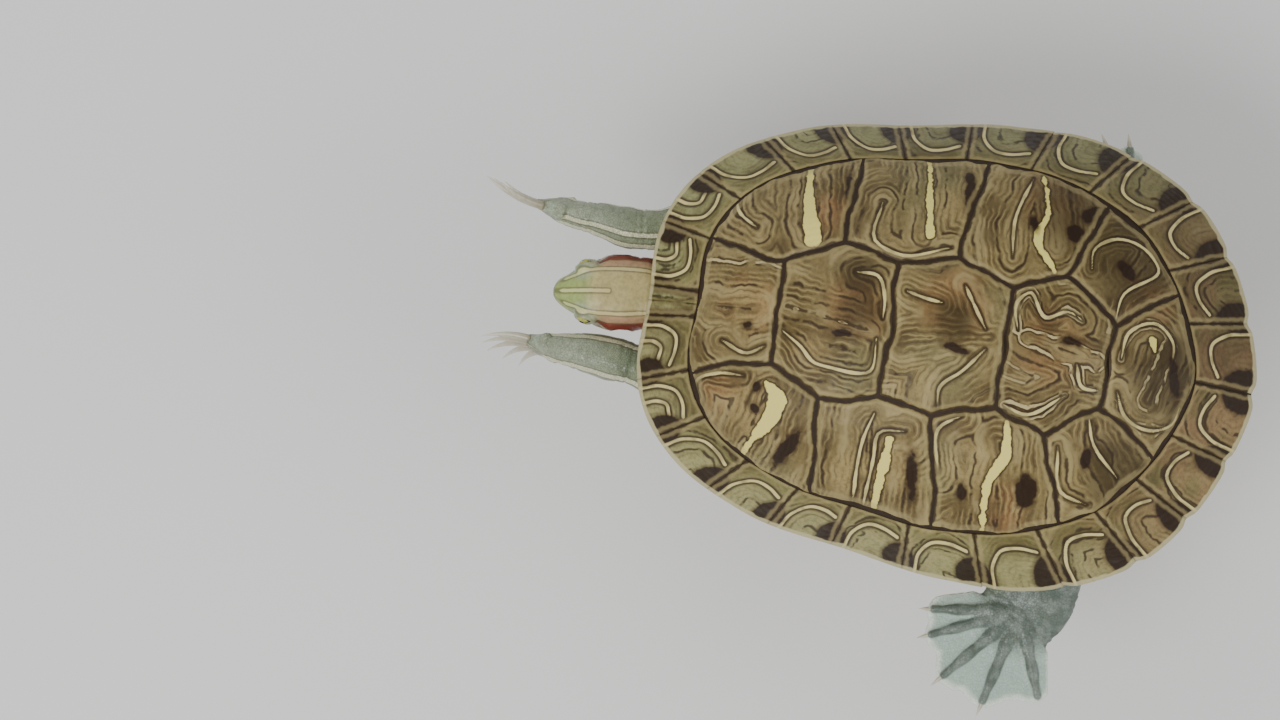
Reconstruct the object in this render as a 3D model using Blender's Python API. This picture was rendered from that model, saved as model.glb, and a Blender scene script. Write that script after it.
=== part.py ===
"""A red-eared slider in a courting swim: forelegs stretched ahead, one hind foot spread wide.

The turtle faces -Y with its left side at +X. Sizes of the shell are shares of its length, and
sizes of the head, limbs and stand are in metres.
"""

from math import atan2, cos, degrees, hypot, pi, radians, sin

import bmesh
import bpy
import numpy as np
from mathutils import Matrix, Vector

SHELL_LENGTH = 0.180
SHELL_TOP = 0.067  # top of the carapace over the plastron's underside
DOME_CENTRE = 0.48  # where the dome peaks, as a share of the length from the front
GAP = 0.0003  # clearance between pieces that touch
MM = 0.001

RIM_HEIGHT = 0.019
RIM_END_RISE = 0.004
FLARE_START = 0.82  # share of the way to the edge where the rim begins to flare
RIM_THICKNESS = 0.0015
SCUTE_THICKNESS = 0.0035
TRUNK_CLEARANCE = 0.0027  # between the faceted body and the shell round it
TRUNK_RADIUS = 0.05  # about what the body's wall stands off its centre

# Edge of the shell, as (share of the length from the front, half-width share)
SHELL_EDGE = (
    (0.0, 0.0), (0.0, 0.12), (0.03, 0.195), (0.09, 0.259), (0.20, 0.316), (0.38, 0.352),
    (0.55, 0.376), (0.68, 0.374), (0.79, 0.340), (0.87, 0.289), (0.94, 0.195), (0.98, 0.10),
    (1.0, 0.0),
)
# Inner border of the marginal scutes, as (degrees from the front, share of the way to the edge)
MARGINAL_BORDER = ((0, 0.815), (45, 0.807), (90, 0.80), (125, 0.76), (150, 0.768), (180, 0.793))
NUCHAL_ANGLE = 3.0  # half the nuchal scute's spread, in degrees from the front
SEAM_ANGLE = 0.1  # half the gap between marginal rows, in degrees

# Corners of the seams between the vertebral scutes, half-width at each share of the length
VERTEBRAL_SEAMS = ((0.2215, 0.079), (0.403, 0.105), (0.583, 0.094), (0.7515, 0.066))
FIRST_WAIST = (0.161, 0.09)  # where the first vertebral is narrowest on its way to the front
COSTAL_APEXES = ((0.309, 0.127), (0.492, 0.126), (0.665, 0.126))
# Degrees from the front where the seams of the costal row meet the marginal border
COSTAL_BORDER_ANGLES = (16, 59, 97, 133, 160)

PLASTRON_THICKNESS = 0.004
PLASTRON_EDGE = (
    (0.035, 0.0), (0.03, 0.085), (0.08, 0.165), (0.16, 0.215), (0.27, 0.235), (0.315, 0.325),
    (0.40, 0.343), (0.56, 0.356), (0.605, 0.335), (0.65, 0.225), (0.78, 0.205), (0.89, 0.165),
    (0.955, 0.085), (0.935, 0.0),
)
BRIDGE_START = 0.235
BRIDGE_WIDTH = 0.10
BRIDGE_RISE = 0.0131
# How far the body's side wall reaches towards the shell's edge, by degrees from the front
BODY_WALL = ((0, 0.80), (60, 0.78), (100, 0.70), (135, 0.52), (160, 0.60), (180, 0.74))

HEAD_YAW = 7.5  # the head turns a little to its left
EYE_RADIUS = 0.0031
STAND_CLEARANCE = 0.066  # floor to the plastron's underside
BASE_SIZE = (0.092, 0.124, 0.012)
BASE_CORNER = 0.030
BASE_BROW = 0.0022  # rounding of the base's upper edge
ROD_RADIUS = 0.004
ROD_PLACES = (("front", -0.036), ("rear", 0.036))

SHELL_BROWN = (0.22, 0.165, 0.085)
RIM_OLIVE = (0.26, 0.235, 0.12)
PLASTRON_YELLOW = (0.62, 0.47, 0.19)
SKIN_GREEN = (0.17, 0.21, 0.15)
HEAD_TAN = (0.40, 0.35, 0.20)
CLAW_HORN = (0.45, 0.41, 0.33)
EYE_DARK = (0.05, 0.06, 0.02)
STAND_WOOD = (0.10, 0.055, 0.03)
STAND_STEEL = (0.55, 0.55, 0.56)


def clear_scene():
    for found in list(bpy.data.objects):
        bpy.data.objects.remove(found, do_unlink=True)


def collection(name):
    made = bpy.data.collections.new(name)
    bpy.context.scene.collection.children.link(made)
    return made


def material(name, colour, roughness, metallic=0.0):
    made = bpy.data.materials.new(name)
    made.use_nodes = True
    shader = made.node_tree.nodes["Principled BSDF"]
    shader.inputs["Base Color"].default_value = (*colour, 1.0)
    shader.inputs["Roughness"].default_value = roughness
    shader.inputs["Metallic"].default_value = metallic
    return made


def add_object(name, mesh, finish, group, smooth_angle=40):
    made = bpy.data.objects.new(name, mesh)
    group.objects.link(made)
    mesh.materials.append(finish)
    mesh.shade_smooth()
    mesh.set_sharp_from_angle(angle=radians(smooth_angle))
    return made


def cut(target, cutter, operation="DIFFERENCE"):
    modifier = target.modifiers.new(cutter.name, "BOOLEAN")
    modifier.operation = operation
    modifier.solver = "EXACT"
    modifier.object = cutter


def hide_cutter(cutter):
    cutter.hide_render = True
    cutter.display_type = "WIRE"


def blend(points, x):
    """Smooth curve through (x, value) points, level at both ends."""
    xs = [p[0] for p in points]
    ys = [p[1] for p in points]
    i = min(max(int(np.searchsorted(xs, x)) - 1, 0), len(xs) - 2)
    slopes = []
    for k in (i, i + 1):
        inner = 0 < k < len(xs) - 1
        slopes.append((ys[k + 1] - ys[k - 1]) / (xs[k + 1] - xs[k - 1]) if inner else 0.0)
    span = xs[i + 1] - xs[i]
    u = min(max((x - xs[i]) / span, 0.0), 1.0)
    start = ys[i] * (1 + 2 * u) * (1 - u) ** 2 + slopes[0] * span * u * (1 - u) ** 2
    end = ys[i + 1] * u * u * (3 - 2 * u) + slopes[1] * span * u * u * (u - 1)
    return start + end


def loft(name, rings, finish, group, smooth_angle=40):
    """One closed body through rings of equal count; each ring runs anticlockwise seen from the last."""
    shape = bmesh.new()
    rows = [[shape.verts.new(point) for point in ring] for ring in rings]
    count = len(rings[0])
    for low, high in zip(rows, rows[1:]):
        for i in range(count):
            j = (i + 1) % count
            shape.faces.new((low[i], low[j], high[j], high[i]))
    shape.faces.new(list(reversed(rows[0])))
    shape.faces.new(rows[-1])
    bmesh.ops.triangulate(shape, faces=[f for f in shape.faces if len(f.verts) > 4])
    bmesh.ops.recalc_face_normals(shape, faces=shape.faces)
    mesh = bpy.data.meshes.new(name)
    shape.to_mesh(mesh)
    shape.free()
    return add_object(name, mesh, finish, group, smooth_angle)


# ---- the shell's surface ----

def edge_angles():
    """The shell's edge as (degrees from the front, radius) about the dome's centre."""
    turned = []
    for along, half in SHELL_EDGE:
        ahead = DOME_CENTRE - along
        turned.append((degrees(atan2(half, ahead)), hypot(half, ahead)))
    return turned


EDGE_BY_ANGLE = edge_angles()


def shell_point(along, across):
    return Vector((across * SHELL_LENGTH, (along - 0.5) * SHELL_LENGTH))


def polar(x, y):
    """Degrees from the front and share of the way to the shell's edge."""
    ahead = DOME_CENTRE - 0.5 - y / SHELL_LENGTH
    side = abs(x) / SHELL_LENGTH
    angle = degrees(atan2(side, ahead))
    return angle, hypot(side, ahead) / blend(EDGE_BY_ANGLE, angle)


def from_polar(angle, share, side):
    """The plan point at an angle from the front on one side, a share of the way to the edge."""
    radius = share * blend(EDGE_BY_ANGLE, angle)
    return shell_point(DOME_CENTRE - radius * cos(radians(angle)), side * radius * sin(radians(angle)))


def dome(x, y):
    """Height of the carapace's outer surface."""
    angle, share = polar(x, y)
    endness = cos(radians(angle)) ** 2
    fall = share ** (2.2 + 0.3 * endness)
    fullness = -0.3 + 0.2 * endness
    drop = min(fall * (1 + fullness * (1 - share * share)), 1.0)
    flare = max(share - FLARE_START, 0.0) / (1 - FLARE_START)
    rise = RIM_END_RISE * endness * flare * flare
    return RIM_HEIGHT + (SHELL_TOP - RIM_HEIGHT) * (1 - drop) + rise


def border(first, last, side, count):
    """Points along the marginal border between two angles."""
    angles = np.linspace(first, last, count)
    return [from_polar(angle, blend(MARGINAL_BORDER, angle), side) for angle in angles]


def outline(corners, most=0.017):
    """A closed plan outline through corners, with its long edges divided."""
    points = []
    for a, b in zip(corners, corners[1:] + corners[:1]):
        steps = max(1, round((b - a).length / most))
        points += [a.lerp(b, k / steps) for k in range(steps)]
    return points


def inset(points, distance):
    """The outline moved inwards by a distance, whichever way round it runs."""
    area = sum(a.cross(b) for a, b in zip(points, points[1:] + points[:1]))
    turn = 1 if area > 0 else -1
    moved = []
    for before, here, after in zip(points[-1:] + points[:-1], points, points[1:] + points[:1]):
        one = (here - before).normalized()
        two = (after - here).normalized()
        normal = Vector((-(one + two).y, (one + two).x)).normalized() * turn
        spread = max(abs(normal.dot(Vector((-one.y, one.x)))), 0.4)
        moved.append(here + normal * (distance / spread))
    return moved if turn > 0 else moved[::-1]


def shell_tile(name, corners, finish, group):
    """A scute: its outline shrunk by half the gap, laid on the dome and thickened downwards."""
    edge = inset(outline(corners), GAP / 2)
    middle = sum(edge, Vector((0, 0))) / len(edge)

    def ring(share, depth):
        flat = [middle.lerp(p, share) for p in edge]
        return [Vector((p.x, p.y, dome(p.x, p.y) - depth)) for p in flat]

    rings = [ring(0.5, SCUTE_THICKNESS), ring(1, SCUTE_THICKNESS), ring(1, 0), ring(0.66, 0)]
    return loft(name, rings + [ring(0.3, 0)], finish, group)


def vertebral_corners(number):
    """Corners of a vertebral scute, 0 at the front to 4 at the rear."""
    if number == 0:
        front = border(0, COSTAL_BORDER_ANGLES[0], 1, 3)
        side = front[1:] + [shell_point(*FIRST_WAIST), shell_point(*VERTEBRAL_SEAMS[0])]
        return mirror_corners(side, front[:1], [])
    if number == 4:
        back = border(COSTAL_BORDER_ANGLES[4], 180, 1, 5)
        return mirror_corners([shell_point(*VERTEBRAL_SEAMS[3])] + back[:-1], [], back[-1:])
    corners = (VERTEBRAL_SEAMS[number - 1], COSTAL_APEXES[number - 1], VERTEBRAL_SEAMS[number])
    return mirror_corners([shell_point(*corner) for corner in corners], [], [])


def mirror_corners(left, front, rear):
    """A whole outline from its +X half, which runs front to rear."""
    right = [Vector((-p.x, p.y)) for p in reversed(left)]
    return front + left + rear + right


def costal_corners(number, side):
    """Corners of a costal scute, 0 at the front to 3 at the rear."""
    first, last = COSTAL_BORDER_ANGLES[number:number + 2]
    outer = border(first, last, side, 5)
    if number == 0:
        inner = [COSTAL_APEXES[0], VERTEBRAL_SEAMS[0], FIRST_WAIST]
    elif number == 3:
        inner = [VERTEBRAL_SEAMS[3], COSTAL_APEXES[2]]
    else:
        inner = [COSTAL_APEXES[number], VERTEBRAL_SEAMS[number], COSTAL_APEXES[number - 1]]
    return outer + [shell_point(along, side * across) for along, across in inner]


def marginal_section(angle, side):
    """The closed section of the marginal row at an angle from the front."""
    inner = blend(MARGINAL_BORDER, angle)
    ring = []
    for share in (inner, (inner + 1) / 2, 0.995):
        p = from_polar(angle, share, side)
        ring.append(Vector((p.x, p.y, dome(p.x, p.y))))
    rim = ring[-1].z - RIM_THICKNESS
    for share, height in ((0.985, rim), (0.90, rim + 0.0008)):
        p = from_polar(angle, share, side)
        ring.append(Vector((p.x, p.y, height)))
    ring.append(Vector((ring[0].x, ring[0].y, ring[0].z - SCUTE_THICKNESS)))
    return ring


def marginal_row(name, first, last, side, count, finish, group):
    """A row of marginal scutes swept round the edge, its inner border drawn back by the gap."""
    rings = []
    for angle in np.linspace(first, last, count):
        ring = marginal_section(angle, side)
        outward = Vector((ring[0].x, ring[0].y + 0.02 * SHELL_LENGTH, 0)).normalized()
        ring[0] += outward * GAP
        ring[-1] += outward * GAP
        rings.append(ring if side > 0 else ring[::-1])
    return loft(name, rings, finish, group)


def build_nuchal(finish, group):
    """The narrow scute over the neck, between the two marginal rows."""
    rings = []
    half = NUCHAL_ANGLE - SEAM_ANGLE
    for angle in (-half, 0, half):
        ring = marginal_section(abs(angle), 1 if angle >= 0 else -1)
        ring[0].y -= GAP
        ring[-1].y -= GAP
        rings.append(ring)
    loft("nuchal", rings, finish, group)


def plastron_height(x):
    """Underside of the plastron, which turns up at the bridges."""
    u = min(max((abs(x) / SHELL_LENGTH - BRIDGE_START) / BRIDGE_WIDTH, 0.0), 1.0)
    return BRIDGE_RISE * u * u * (3 - 2 * u)


def build_plastron(finish, group):
    half = [shell_point(*p) for p in PLASTRON_EDGE]
    edge = inset(outline(mirror_corners(half[1:-1], half[:1], half[-1:]), 0.012), 0.0)
    core = Vector((0, 0))

    def ring(share, lift):
        flat = [core.lerp(p, share) for p in edge]
        return [Vector((p.x, p.y, plastron_height(p.x) + lift)) for p in flat]

    shares = (0.4, 0.7, 0.82, 1)
    rings = [ring(share, 0) for share in shares]
    rings += [ring(share, PLASTRON_THICKNESS) for share in reversed(shares)]
    return loft("plastron", rings, finish, group)


def build_trunk(name, grow, finish, group):
    """The body inside the shell, clear of it all round; grow makes the cutter for what meets it."""
    angles = list(np.linspace(0, 180, 11))
    rim = [(angle, 1) for angle in angles] + [(angle, -1) for angle in angles[-2:0:-1]]

    def ring(share, height):
        flat = [from_polar(angle, share * blend(BODY_WALL, angle), side) for angle, side in rim]
        return [Vector((p.x, p.y, height(p.x, p.y))) for p in flat]

    def middle(x, y):
        return max(bottom(x, y) + 0.002, RIM_HEIGHT - RIM_THICKNESS)

    def top(x, y):
        return dome(x, y) - SCUTE_THICKNESS - TRUNK_CLEARANCE + grow

    def bottom(x, y):
        return plastron_height(x) + PLASTRON_THICKNESS + TRUNK_CLEARANCE - grow

    wall = 1 + grow / TRUNK_RADIUS
    levels = [ring(0.5, bottom), ring(wall - 0.08, bottom), ring(wall, middle)]
    levels += [ring(wall - 0.12, top), ring(0.64, top), ring(0.32, top)]
    return loft(name, levels, finish, group)


# ---- flesh ----

def section(place, ahead, up, half_wide, half_high, count=12, fullness=2.0):
    """A rounded section across the direction ahead, level with up."""
    forward = Vector(ahead).normalized()
    side = forward.cross(Vector(up)).normalized()
    top = side.cross(forward)
    points = []
    for k in range(count):
        turn = 2 * pi * k / count
        c = cos(turn)
        s = sin(turn)
        x = abs(c) ** (2 / fullness) * (1 if c >= 0 else -1)
        z = abs(s) ** (2 / fullness) * (1 if s >= 0 else -1)
        points.append(Vector(place) + side * (half_wide * x) + top * (half_high * z))
    return points


def limb(name, stations, finish, group, up=(0, 0, 1), count=12, start=None, end=None):
    """A length of limb through (place, half-width, half-height) stations in millimetres.

    start and end are the directions that a joint's two faces share with the next length.
    """
    places = [Vector(s[0]) * MM for s in stations]
    rings = []
    for i, (_, wide, high) in enumerate(stations):
        ahead = places[min(i + 1, len(places) - 1)] - places[max(i - 1, 0)]
        if i == 0 and start:
            ahead = Vector(start)
            places[0] = places[0] + ahead.normalized() * (GAP / 2)
        if i == len(stations) - 1 and end:
            ahead = Vector(end)
            places[-1] = places[-1] - ahead.normalized() * (GAP / 2)
        rings.append(section(places[i], ahead, up, wide * MM, high * MM, count))
    return loft(name, rings, finish, group)


def claw(name, place, ahead, bend, length, thick, curl, finish, group, grow=0.0):
    """A claw that curves from ahead towards bend by curl degrees, tapering to a point."""
    forward = Vector(ahead).normalized()
    aside = (Vector(bend) - forward * Vector(bend).dot(forward)).normalized()
    spot = Vector(place)
    steps = 5
    rings = []
    for k in range(steps + 1):
        turn = radians(curl) * k / steps
        direction = forward * cos(turn) + aside * sin(turn)
        radius = thick * (1 - 0.86 * (k / steps) ** 1.4) + grow
        across = -forward * sin(turn) + aside * cos(turn)
        rings.append(section(spot, direction, across, radius * 0.8, radius, 8))
        spot = spot + direction * (length / steps)
    return loft(name, rings, finish, group)


def toe_share(angle):
    """The outer toes are shorter than the middle ones."""
    return 1 - TOE_SHORTENING * abs(angle)


def fan_foot(name, matrix, length, half_ankle, toe_angles, thick, web_depth, finish, group):
    """A webbed foot in its own frame: toes along +Y from the ankle, with scalloped web between."""
    first = toe_angles[0] - WEB_PAST_TOES[0]
    last = toe_angles[-1] + WEB_PAST_TOES[1]
    angles = list(np.linspace(first, last, 2 * len(toe_angles) + 7)) + list(toe_angles)
    angles = sorted(set(round(a, 3) for a in angles))
    half_step = (toe_angles[-1] - toe_angles[0]) / (len(toe_angles) - 1) / 2

    def reach(angle):
        near = min(abs(angle - toe) for toe in toe_angles)
        return length * toe_share(angle) * (1 - web_depth * min(near / half_step, 1.0) ** 1.5)

    rim = [Vector((sin(radians(a)), cos(radians(a)), 0)) * reach(a) for a in angles]
    heel = [Vector((half_ankle, 0.3 * half_ankle, 0)), Vector((half_ankle * 0.5, -half_ankle, 0))]
    heel += [Vector((-half_ankle * 0.5, -half_ankle, 0)), Vector((-half_ankle, 0.3 * half_ankle, 0))]
    edge = rim + heel
    core = Vector((0, half_ankle * 0.6, 0))

    def ring(share, side):
        lifted = []
        for p in edge:
            q = core.lerp(p, share)
            far = min(q.length / length, 1.0)
            height = side * (thick * (1 - FOOT_TAPER * far) * (1 - share ** 3) + WEB_HALF_THICKNESS)
            lifted.append(matrix @ Vector((q.x, q.y, height)))
        return lifted

    rings = [ring(0.3, -1), ring(0.65, -1), ring(1, -1), ring(1, 1), ring(0.65, 1), ring(0.3, 1)]
    return loft(name, rings, finish, group)


def frame_at(place, ahead, up):
    """A matrix whose +Y points ahead and whose +Z leans to up."""
    y = Vector(ahead).normalized()
    x = y.cross(Vector(up)).normalized()
    z = x.cross(y)
    turned = Matrix((x, y, z)).transposed().to_4x4()
    return Matrix.Translation(Vector(place) * MM) @ turned


def webbed_foot(name, end, ahead, normal, parting, toes, reach, thick, claws, finishes, groups):
    """A webbed foot cut square to parting at its leg's end, with a claw sunk into each clawed toe.

    normal stands up from the foot's flat; claws gives the claws' length, bend (in the foot's
    own frame) and curl.
    """
    skin, horn = finishes
    group, cutters = groups
    forward = Vector(ahead).normalized()
    matrix = frame_at(Vector(end) + forward * (ANKLE_AHEAD / MM), forward, normal)
    web_depth = WEB_DEPTH[name[:4]]
    foot = fan_foot(name, matrix, reach, ANKLE_HALF_WIDTH[name], toes, thick, web_depth, skin, group)
    face = Vector(end) * MM + parting * (GAP / 2)
    spans = (face - parting * CUTTER_REACH, face)
    rings = [section(spot, parting, normal, CUTTER_REACH, CUTTER_REACH, 4) for spot in spans]
    cutter_shapes = [loft(name + "_ankle_space", rings, skin, cutters)]
    length, bend, curl = claws
    turned = matrix.to_3x3()
    clawed = toes[-CLAWED_TOES[name[:4]]:]
    for number, turn in enumerate(clawed, 1):
        along = turned @ Vector((sin(radians(turn)), cos(radians(turn)), 0))
        root = matrix.translation + along * (reach * toe_share(turn) * CLAW_ROOT)
        size = length * (1 - CLAW_SHORTENING * abs(turn))
        shape = (along, turned @ Vector(bend), size, CLAW_RADIUS, curl, horn)
        claw_name = name + "_claw_" + str(number)
        claw(claw_name, root, *shape, group)
        start = root - along * (1.3 * GAP)
        cutter_shapes.append(claw(claw_name + "_space", start, *shape, cutters, GAP))
    for shape in cutter_shapes:
        hide_cutter(shape)
        cut(foot, shape)


# ---- head ----

HEAD_JOINT = Vector((-2.4, -90.0, 11.6)) * MM
# From the neck to the snout: (forward, half-width, top, bottom) in millimetres
HEAD_SECTIONS = (
    (0.0, 10.6, 8.2, -7.6), (5.0, 11.2, 9.0, -7.8), (10.5, 11.3, 9.6, -7.6), (15.5, 10.6, 9.8, -7.0),
    (19.0, 8.9, 9.2, -6.3), (22.5, 6.9, 7.9, -5.3), (25.5, 5.0, 6.2, -4.0), (27.6, 3.4, 4.9, -2.6),
    (28.8, 1.9, 3.7, -1.2),
)
MOUTH = ((29.6, 0.2), (14.5, -2.4))  # front and rear ends of the mouth line: forward, height
MOUTH_HALF_GAP = 0.15
JAW_FLOOR = -12
JAW_SIDE = 16
EYE_FORWARD = 19.3
EYE_ASIDE = 6.6
EYE_UP = 4.5


def head_matrix():
    return Matrix.Translation(HEAD_JOINT) @ Matrix.Rotation(radians(180 + HEAD_YAW), 4, "Z")


def head_ring(forward, wide, top, bottom, grow=0.0):
    ring = []
    count = 16
    middle = (top + bottom) / 2
    half = (top - bottom) / 2
    for k in range(count):
        turn = 2 * pi * k / count
        c = cos(turn)
        s = sin(turn)
        x = (wide + grow) * abs(c) ** 0.9 * (1 if c >= 0 else -1)
        z = middle + (half + grow) * abs(s) ** 0.9 * (1 if s >= 0 else -1)
        ring.append(head_matrix() @ (Vector((x, forward, z)) * MM))
    return ring


def build_head(skin, eye_finish, group, cutters):
    forward, wide, top, bottom = HEAD_SECTIONS[0]
    rings = [head_ring(forward + MOUTH_HALF_GAP, wide, top, bottom)]
    rings += [head_ring(*station) for station in HEAD_SECTIONS[1:]]
    head = loft("head", rings, skin, group)
    jaw = loft("jaw", rings, skin, group)
    (front, front_height), (rear, rear_height) = MOUTH
    sharing = ((head, MOUTH_HALF_GAP, "DIFFERENCE"), (jaw, -MOUTH_HALF_GAP, "INTERSECT"))
    for target, shift, operation in sharing:
        profile = [
            (front + 3, front_height + shift), (rear - shift, rear_height + shift),
            (rear - 5 - shift, JAW_FLOOR), (front + 3, JAW_FLOOR),
        ]
        rings = []
        for x in (-JAW_SIDE, JAW_SIDE):
            rings.append([head_matrix() @ (Vector((x, f, z)) * MM) for f, z in profile])
        space = loft(target.name + "_mouth_space", rings, skin, cutters)
        hide_cutter(space)
        cut(target, space, operation)
    for side, label in ((1, "left"), (-1, "right")):
        # the head's own +X is its right once it faces -Y
        place = head_matrix() @ (Vector((-side * EYE_ASIDE, EYE_FORWARD, EYE_UP)) * MM)
        eye = ball("eye_" + label, place, EYE_RADIUS, eye_finish, group)
        socket = ball("socket_" + label, eye.location, EYE_RADIUS + GAP, eye_finish, cutters)
        hide_cutter(socket)
        cut(head, socket)


def ball(name, place, radius, finish, group):
    shape = bmesh.new()
    bmesh.ops.create_uvsphere(shape, u_segments=12, v_segments=8, radius=radius)
    mesh = bpy.data.meshes.new(name)
    shape.to_mesh(mesh)
    shape.free()
    made = add_object(name, mesh, finish, group)
    made.location = place
    return made


# ---- limbs, neck and tail ----

NECK = (
    ((-1.0, -58, 11.6), 9.5, 7.0), ((-1.5, -74, 11.6), 10.2, 7.2), ((-2.2, -84, 11.8), 10.6, 7.6),
    ((-2.4, -90, 11.9), 10.4, 7.7),
)
TAIL = (
    ((0, 56, 11.2), 7.4, 5.4), ((-3, 68, 10.8), 6.4, 5.0), ((-9, 75.0, 10.2), 5.3, 4.3),
    ((-17.5, 77.5, 9.6), 4.2, 3.5), ((-25, 76.0, 9.2), 3.0, 2.6), ((-30.5, 72.8, 9.0), 1.9, 1.7),
    ((-34, 69.5, 9.0), 0.8, 0.7),
)

FORELEG_RIGHT = (
    ((-31, -52, 10.8), 8.5, 5.2), ((-28.5, -68, 10.9), 7.6, 5.4), ((-25, -82, 11.2), 6.6, 5.8),
    ((-21.8, -91, 12.0), 5.9, 6.8), ((-21, -100, 12.8), 6.3, 7.0), ((-21.8, -108, 13.8), 5.3, 6.4),
    ((-22, -113.5, 14.6), 4.4, 6.6),
)
FORELEG_LEFT = (
    ((31, -52, 10.8), 8.5, 5.2), ((27, -68, 10.9), 7.6, 5.4), ((22.5, -82, 11.2), 6.6, 5.8),
    ((19.4, -91, 11.8), 6.1, 6.8), ((18.6, -99, 12.4), 6.6, 7.0), ((18.0, -106, 12.8), 6.0, 6.6),
    ((18.0, -111.0, 12.6), 5.2, 6.8),
)
HINDLEG_LEFT = (
    ((28, 44, 11.0), 8.6, 5.6), ((40, 41, 11.2), 9.2, 5.6), ((53, 38.5, 11.0), 10.4, 5.4),
    ((62.5, 37.3, 10.4), 12.4, 5.0), ((69.5, 34.8, 9.6), 13.4, 4.2),
)
HINDLEG_RIGHT = (
    ((-18, 44, 11.2), 8.4, 5.6), ((-27, 42.5, 11.2), 8.6, 5.6), ((-34, 44, 10.9), 8.0, 5.2),
    ((-40.5, 51, 10.2), 6.8, 4.6),
)
ANKLE_AHEAD = 0.004  # the fan of the toes is centred this far past the ankle's parting
ANKLE_HALF_WIDTH = {
    "forefoot_right": 0.0066, "forefoot_left": 0.0066, "hindfoot_left": 0.0140, "hindfoot_right": 0.0095,
}
WEB_DEPTH = {"fore": 0.16, "hind": 0.09}  # depth of the scallops between the toes
WEB_PAST_TOES = (7, 9)  # degrees of web beyond the first and the last toe
WEB_HALF_THICKNESS = 0.0007
FOOT_TAPER = 0.72  # share of the foot's thickness lost by the toes' tips
TOE_SHORTENING = 0.0032  # share of its length lost by a toe for each degree off the foot's line
CLAW_SHORTENING = 0.004
CLAW_ROOT = 0.9  # share of the toe's length at which its claw begins
CLAW_RADIUS = 0.00125
CUTTER_REACH = 0.03
CLAWED_TOES = {"fore": 5, "hind": 4}  # the hind foot's outermost toe, listed first, has none
HIND_TOES_SPREAD = (-51, -17, 10, 35, 51)
HIND_TOES_FOLDED = (-24, -9, 6, 21)
FORE_TOES = (-26, -13, 0, 13, 26)
FORE_CLAWS = (0.0175, (0, 0, 1), 30)
FORE_CLAWS_LOWERED = (0.0170, (-0.7, 0, 0.6), 34)
HIND_CLAWS = (0.0064, (0, 0, -1), 22)
# Name, stations, toe angles, direction of the foot, its normal, reach, thickness, claws
LIMBS = (
    ("foreleg_right", FORELEG_RIGHT, FORE_TOES, (-0.10, -1, 0.08), (-1, 0, 0.1), 0.0115, 0.0036,
     FORE_CLAWS),
    ("foreleg_left", FORELEG_LEFT, FORE_TOES, (-0.02, -1, -0.45), (1, 0, 0.35), 0.0115, 0.0036,
     FORE_CLAWS_LOWERED),
    ("hindleg_left", HINDLEG_LEFT, HIND_TOES_SPREAD, (0.86, -0.51, -0.03), (0, 0, 1), 0.033,
     0.0036, HIND_CLAWS),
    ("hindleg_right", HINDLEG_RIGHT, HIND_TOES_FOLDED, (-0.83, -0.56, 0.0), (0, 0, 1), 0.0275,
     0.0036, HIND_CLAWS),
)


def build_leg(label, stations, foot_ahead, finish, group, trunk_space):
    """The two upper lengths of a leg; returns the direction that parts it from its foot."""
    split = 2
    joint = Vector(stations[split + 1][0]) - Vector(stations[split - 1][0])
    upper = limb(label + "_upper", stations[:split + 1], finish, group, end=joint)
    cut(upper, trunk_space)
    last = (Vector(stations[-1][0]) - Vector(stations[-2][0])).normalized()
    ankle = last + Vector(foot_ahead).normalized()
    limb(label + "_lower", stations[split:], finish, group, start=joint, end=ankle)
    return ankle.normalized()


def build_stand(wood, steel, group):
    wide, deep, high = BASE_SIZE
    shape = bmesh.new()
    bmesh.ops.create_cube(shape, size=1)
    bmesh.ops.scale(shape, vec=(wide, deep, high), verts=shape.verts)
    upright = [e for e in shape.edges if abs(e.verts[0].co.z - e.verts[1].co.z) > high / 2]
    bmesh.ops.bevel(shape, geom=upright, offset=BASE_CORNER, segments=6, affect="EDGES", profile=0.5)
    brow = [e for e in shape.edges if all(v.co.z > 0 for v in e.verts)]
    bmesh.ops.bevel(shape, geom=brow, offset=BASE_BROW, segments=2, affect="EDGES", profile=0.5)
    mesh = bpy.data.meshes.new("stand_base")
    shape.to_mesh(mesh)
    shape.free()
    base = add_object("stand_base", mesh, wood, group)
    base.location = (0, 0, high / 2 - STAND_CLEARANCE)
    for label, along in ROD_PLACES:
        length = STAND_CLEARANCE - high - 2 * GAP
        shape = bmesh.new()
        bmesh.ops.create_cone(
            shape, cap_ends=True, segments=20, radius1=ROD_RADIUS, radius2=ROD_RADIUS, depth=length
        )
        mesh = bpy.data.meshes.new("stand_rod_" + label)
        shape.to_mesh(mesh)
        shape.free()
        rod = add_object("stand_rod_" + label, mesh, steel, group)
        rod.location = (0, along, -GAP - length / 2)


def shift_to_floor(group):
    """The move that stands the model's box on the floor, centred on the origin."""
    bpy.context.view_layer.update()
    graph = bpy.context.evaluated_depsgraph_get()
    corners = []
    for found in group.objects:
        shown = found.evaluated_get(graph)
        corners += [shown.matrix_world @ Vector(v.co) for v in shown.data.vertices]
    low = Vector([min(c[i] for c in corners) for i in range(3)])
    high = Vector([max(c[i] for c in corners) for i in range(3)])
    return Vector((-(low.x + high.x) / 2, -(low.y + high.y) / 2, -low.z))


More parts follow.
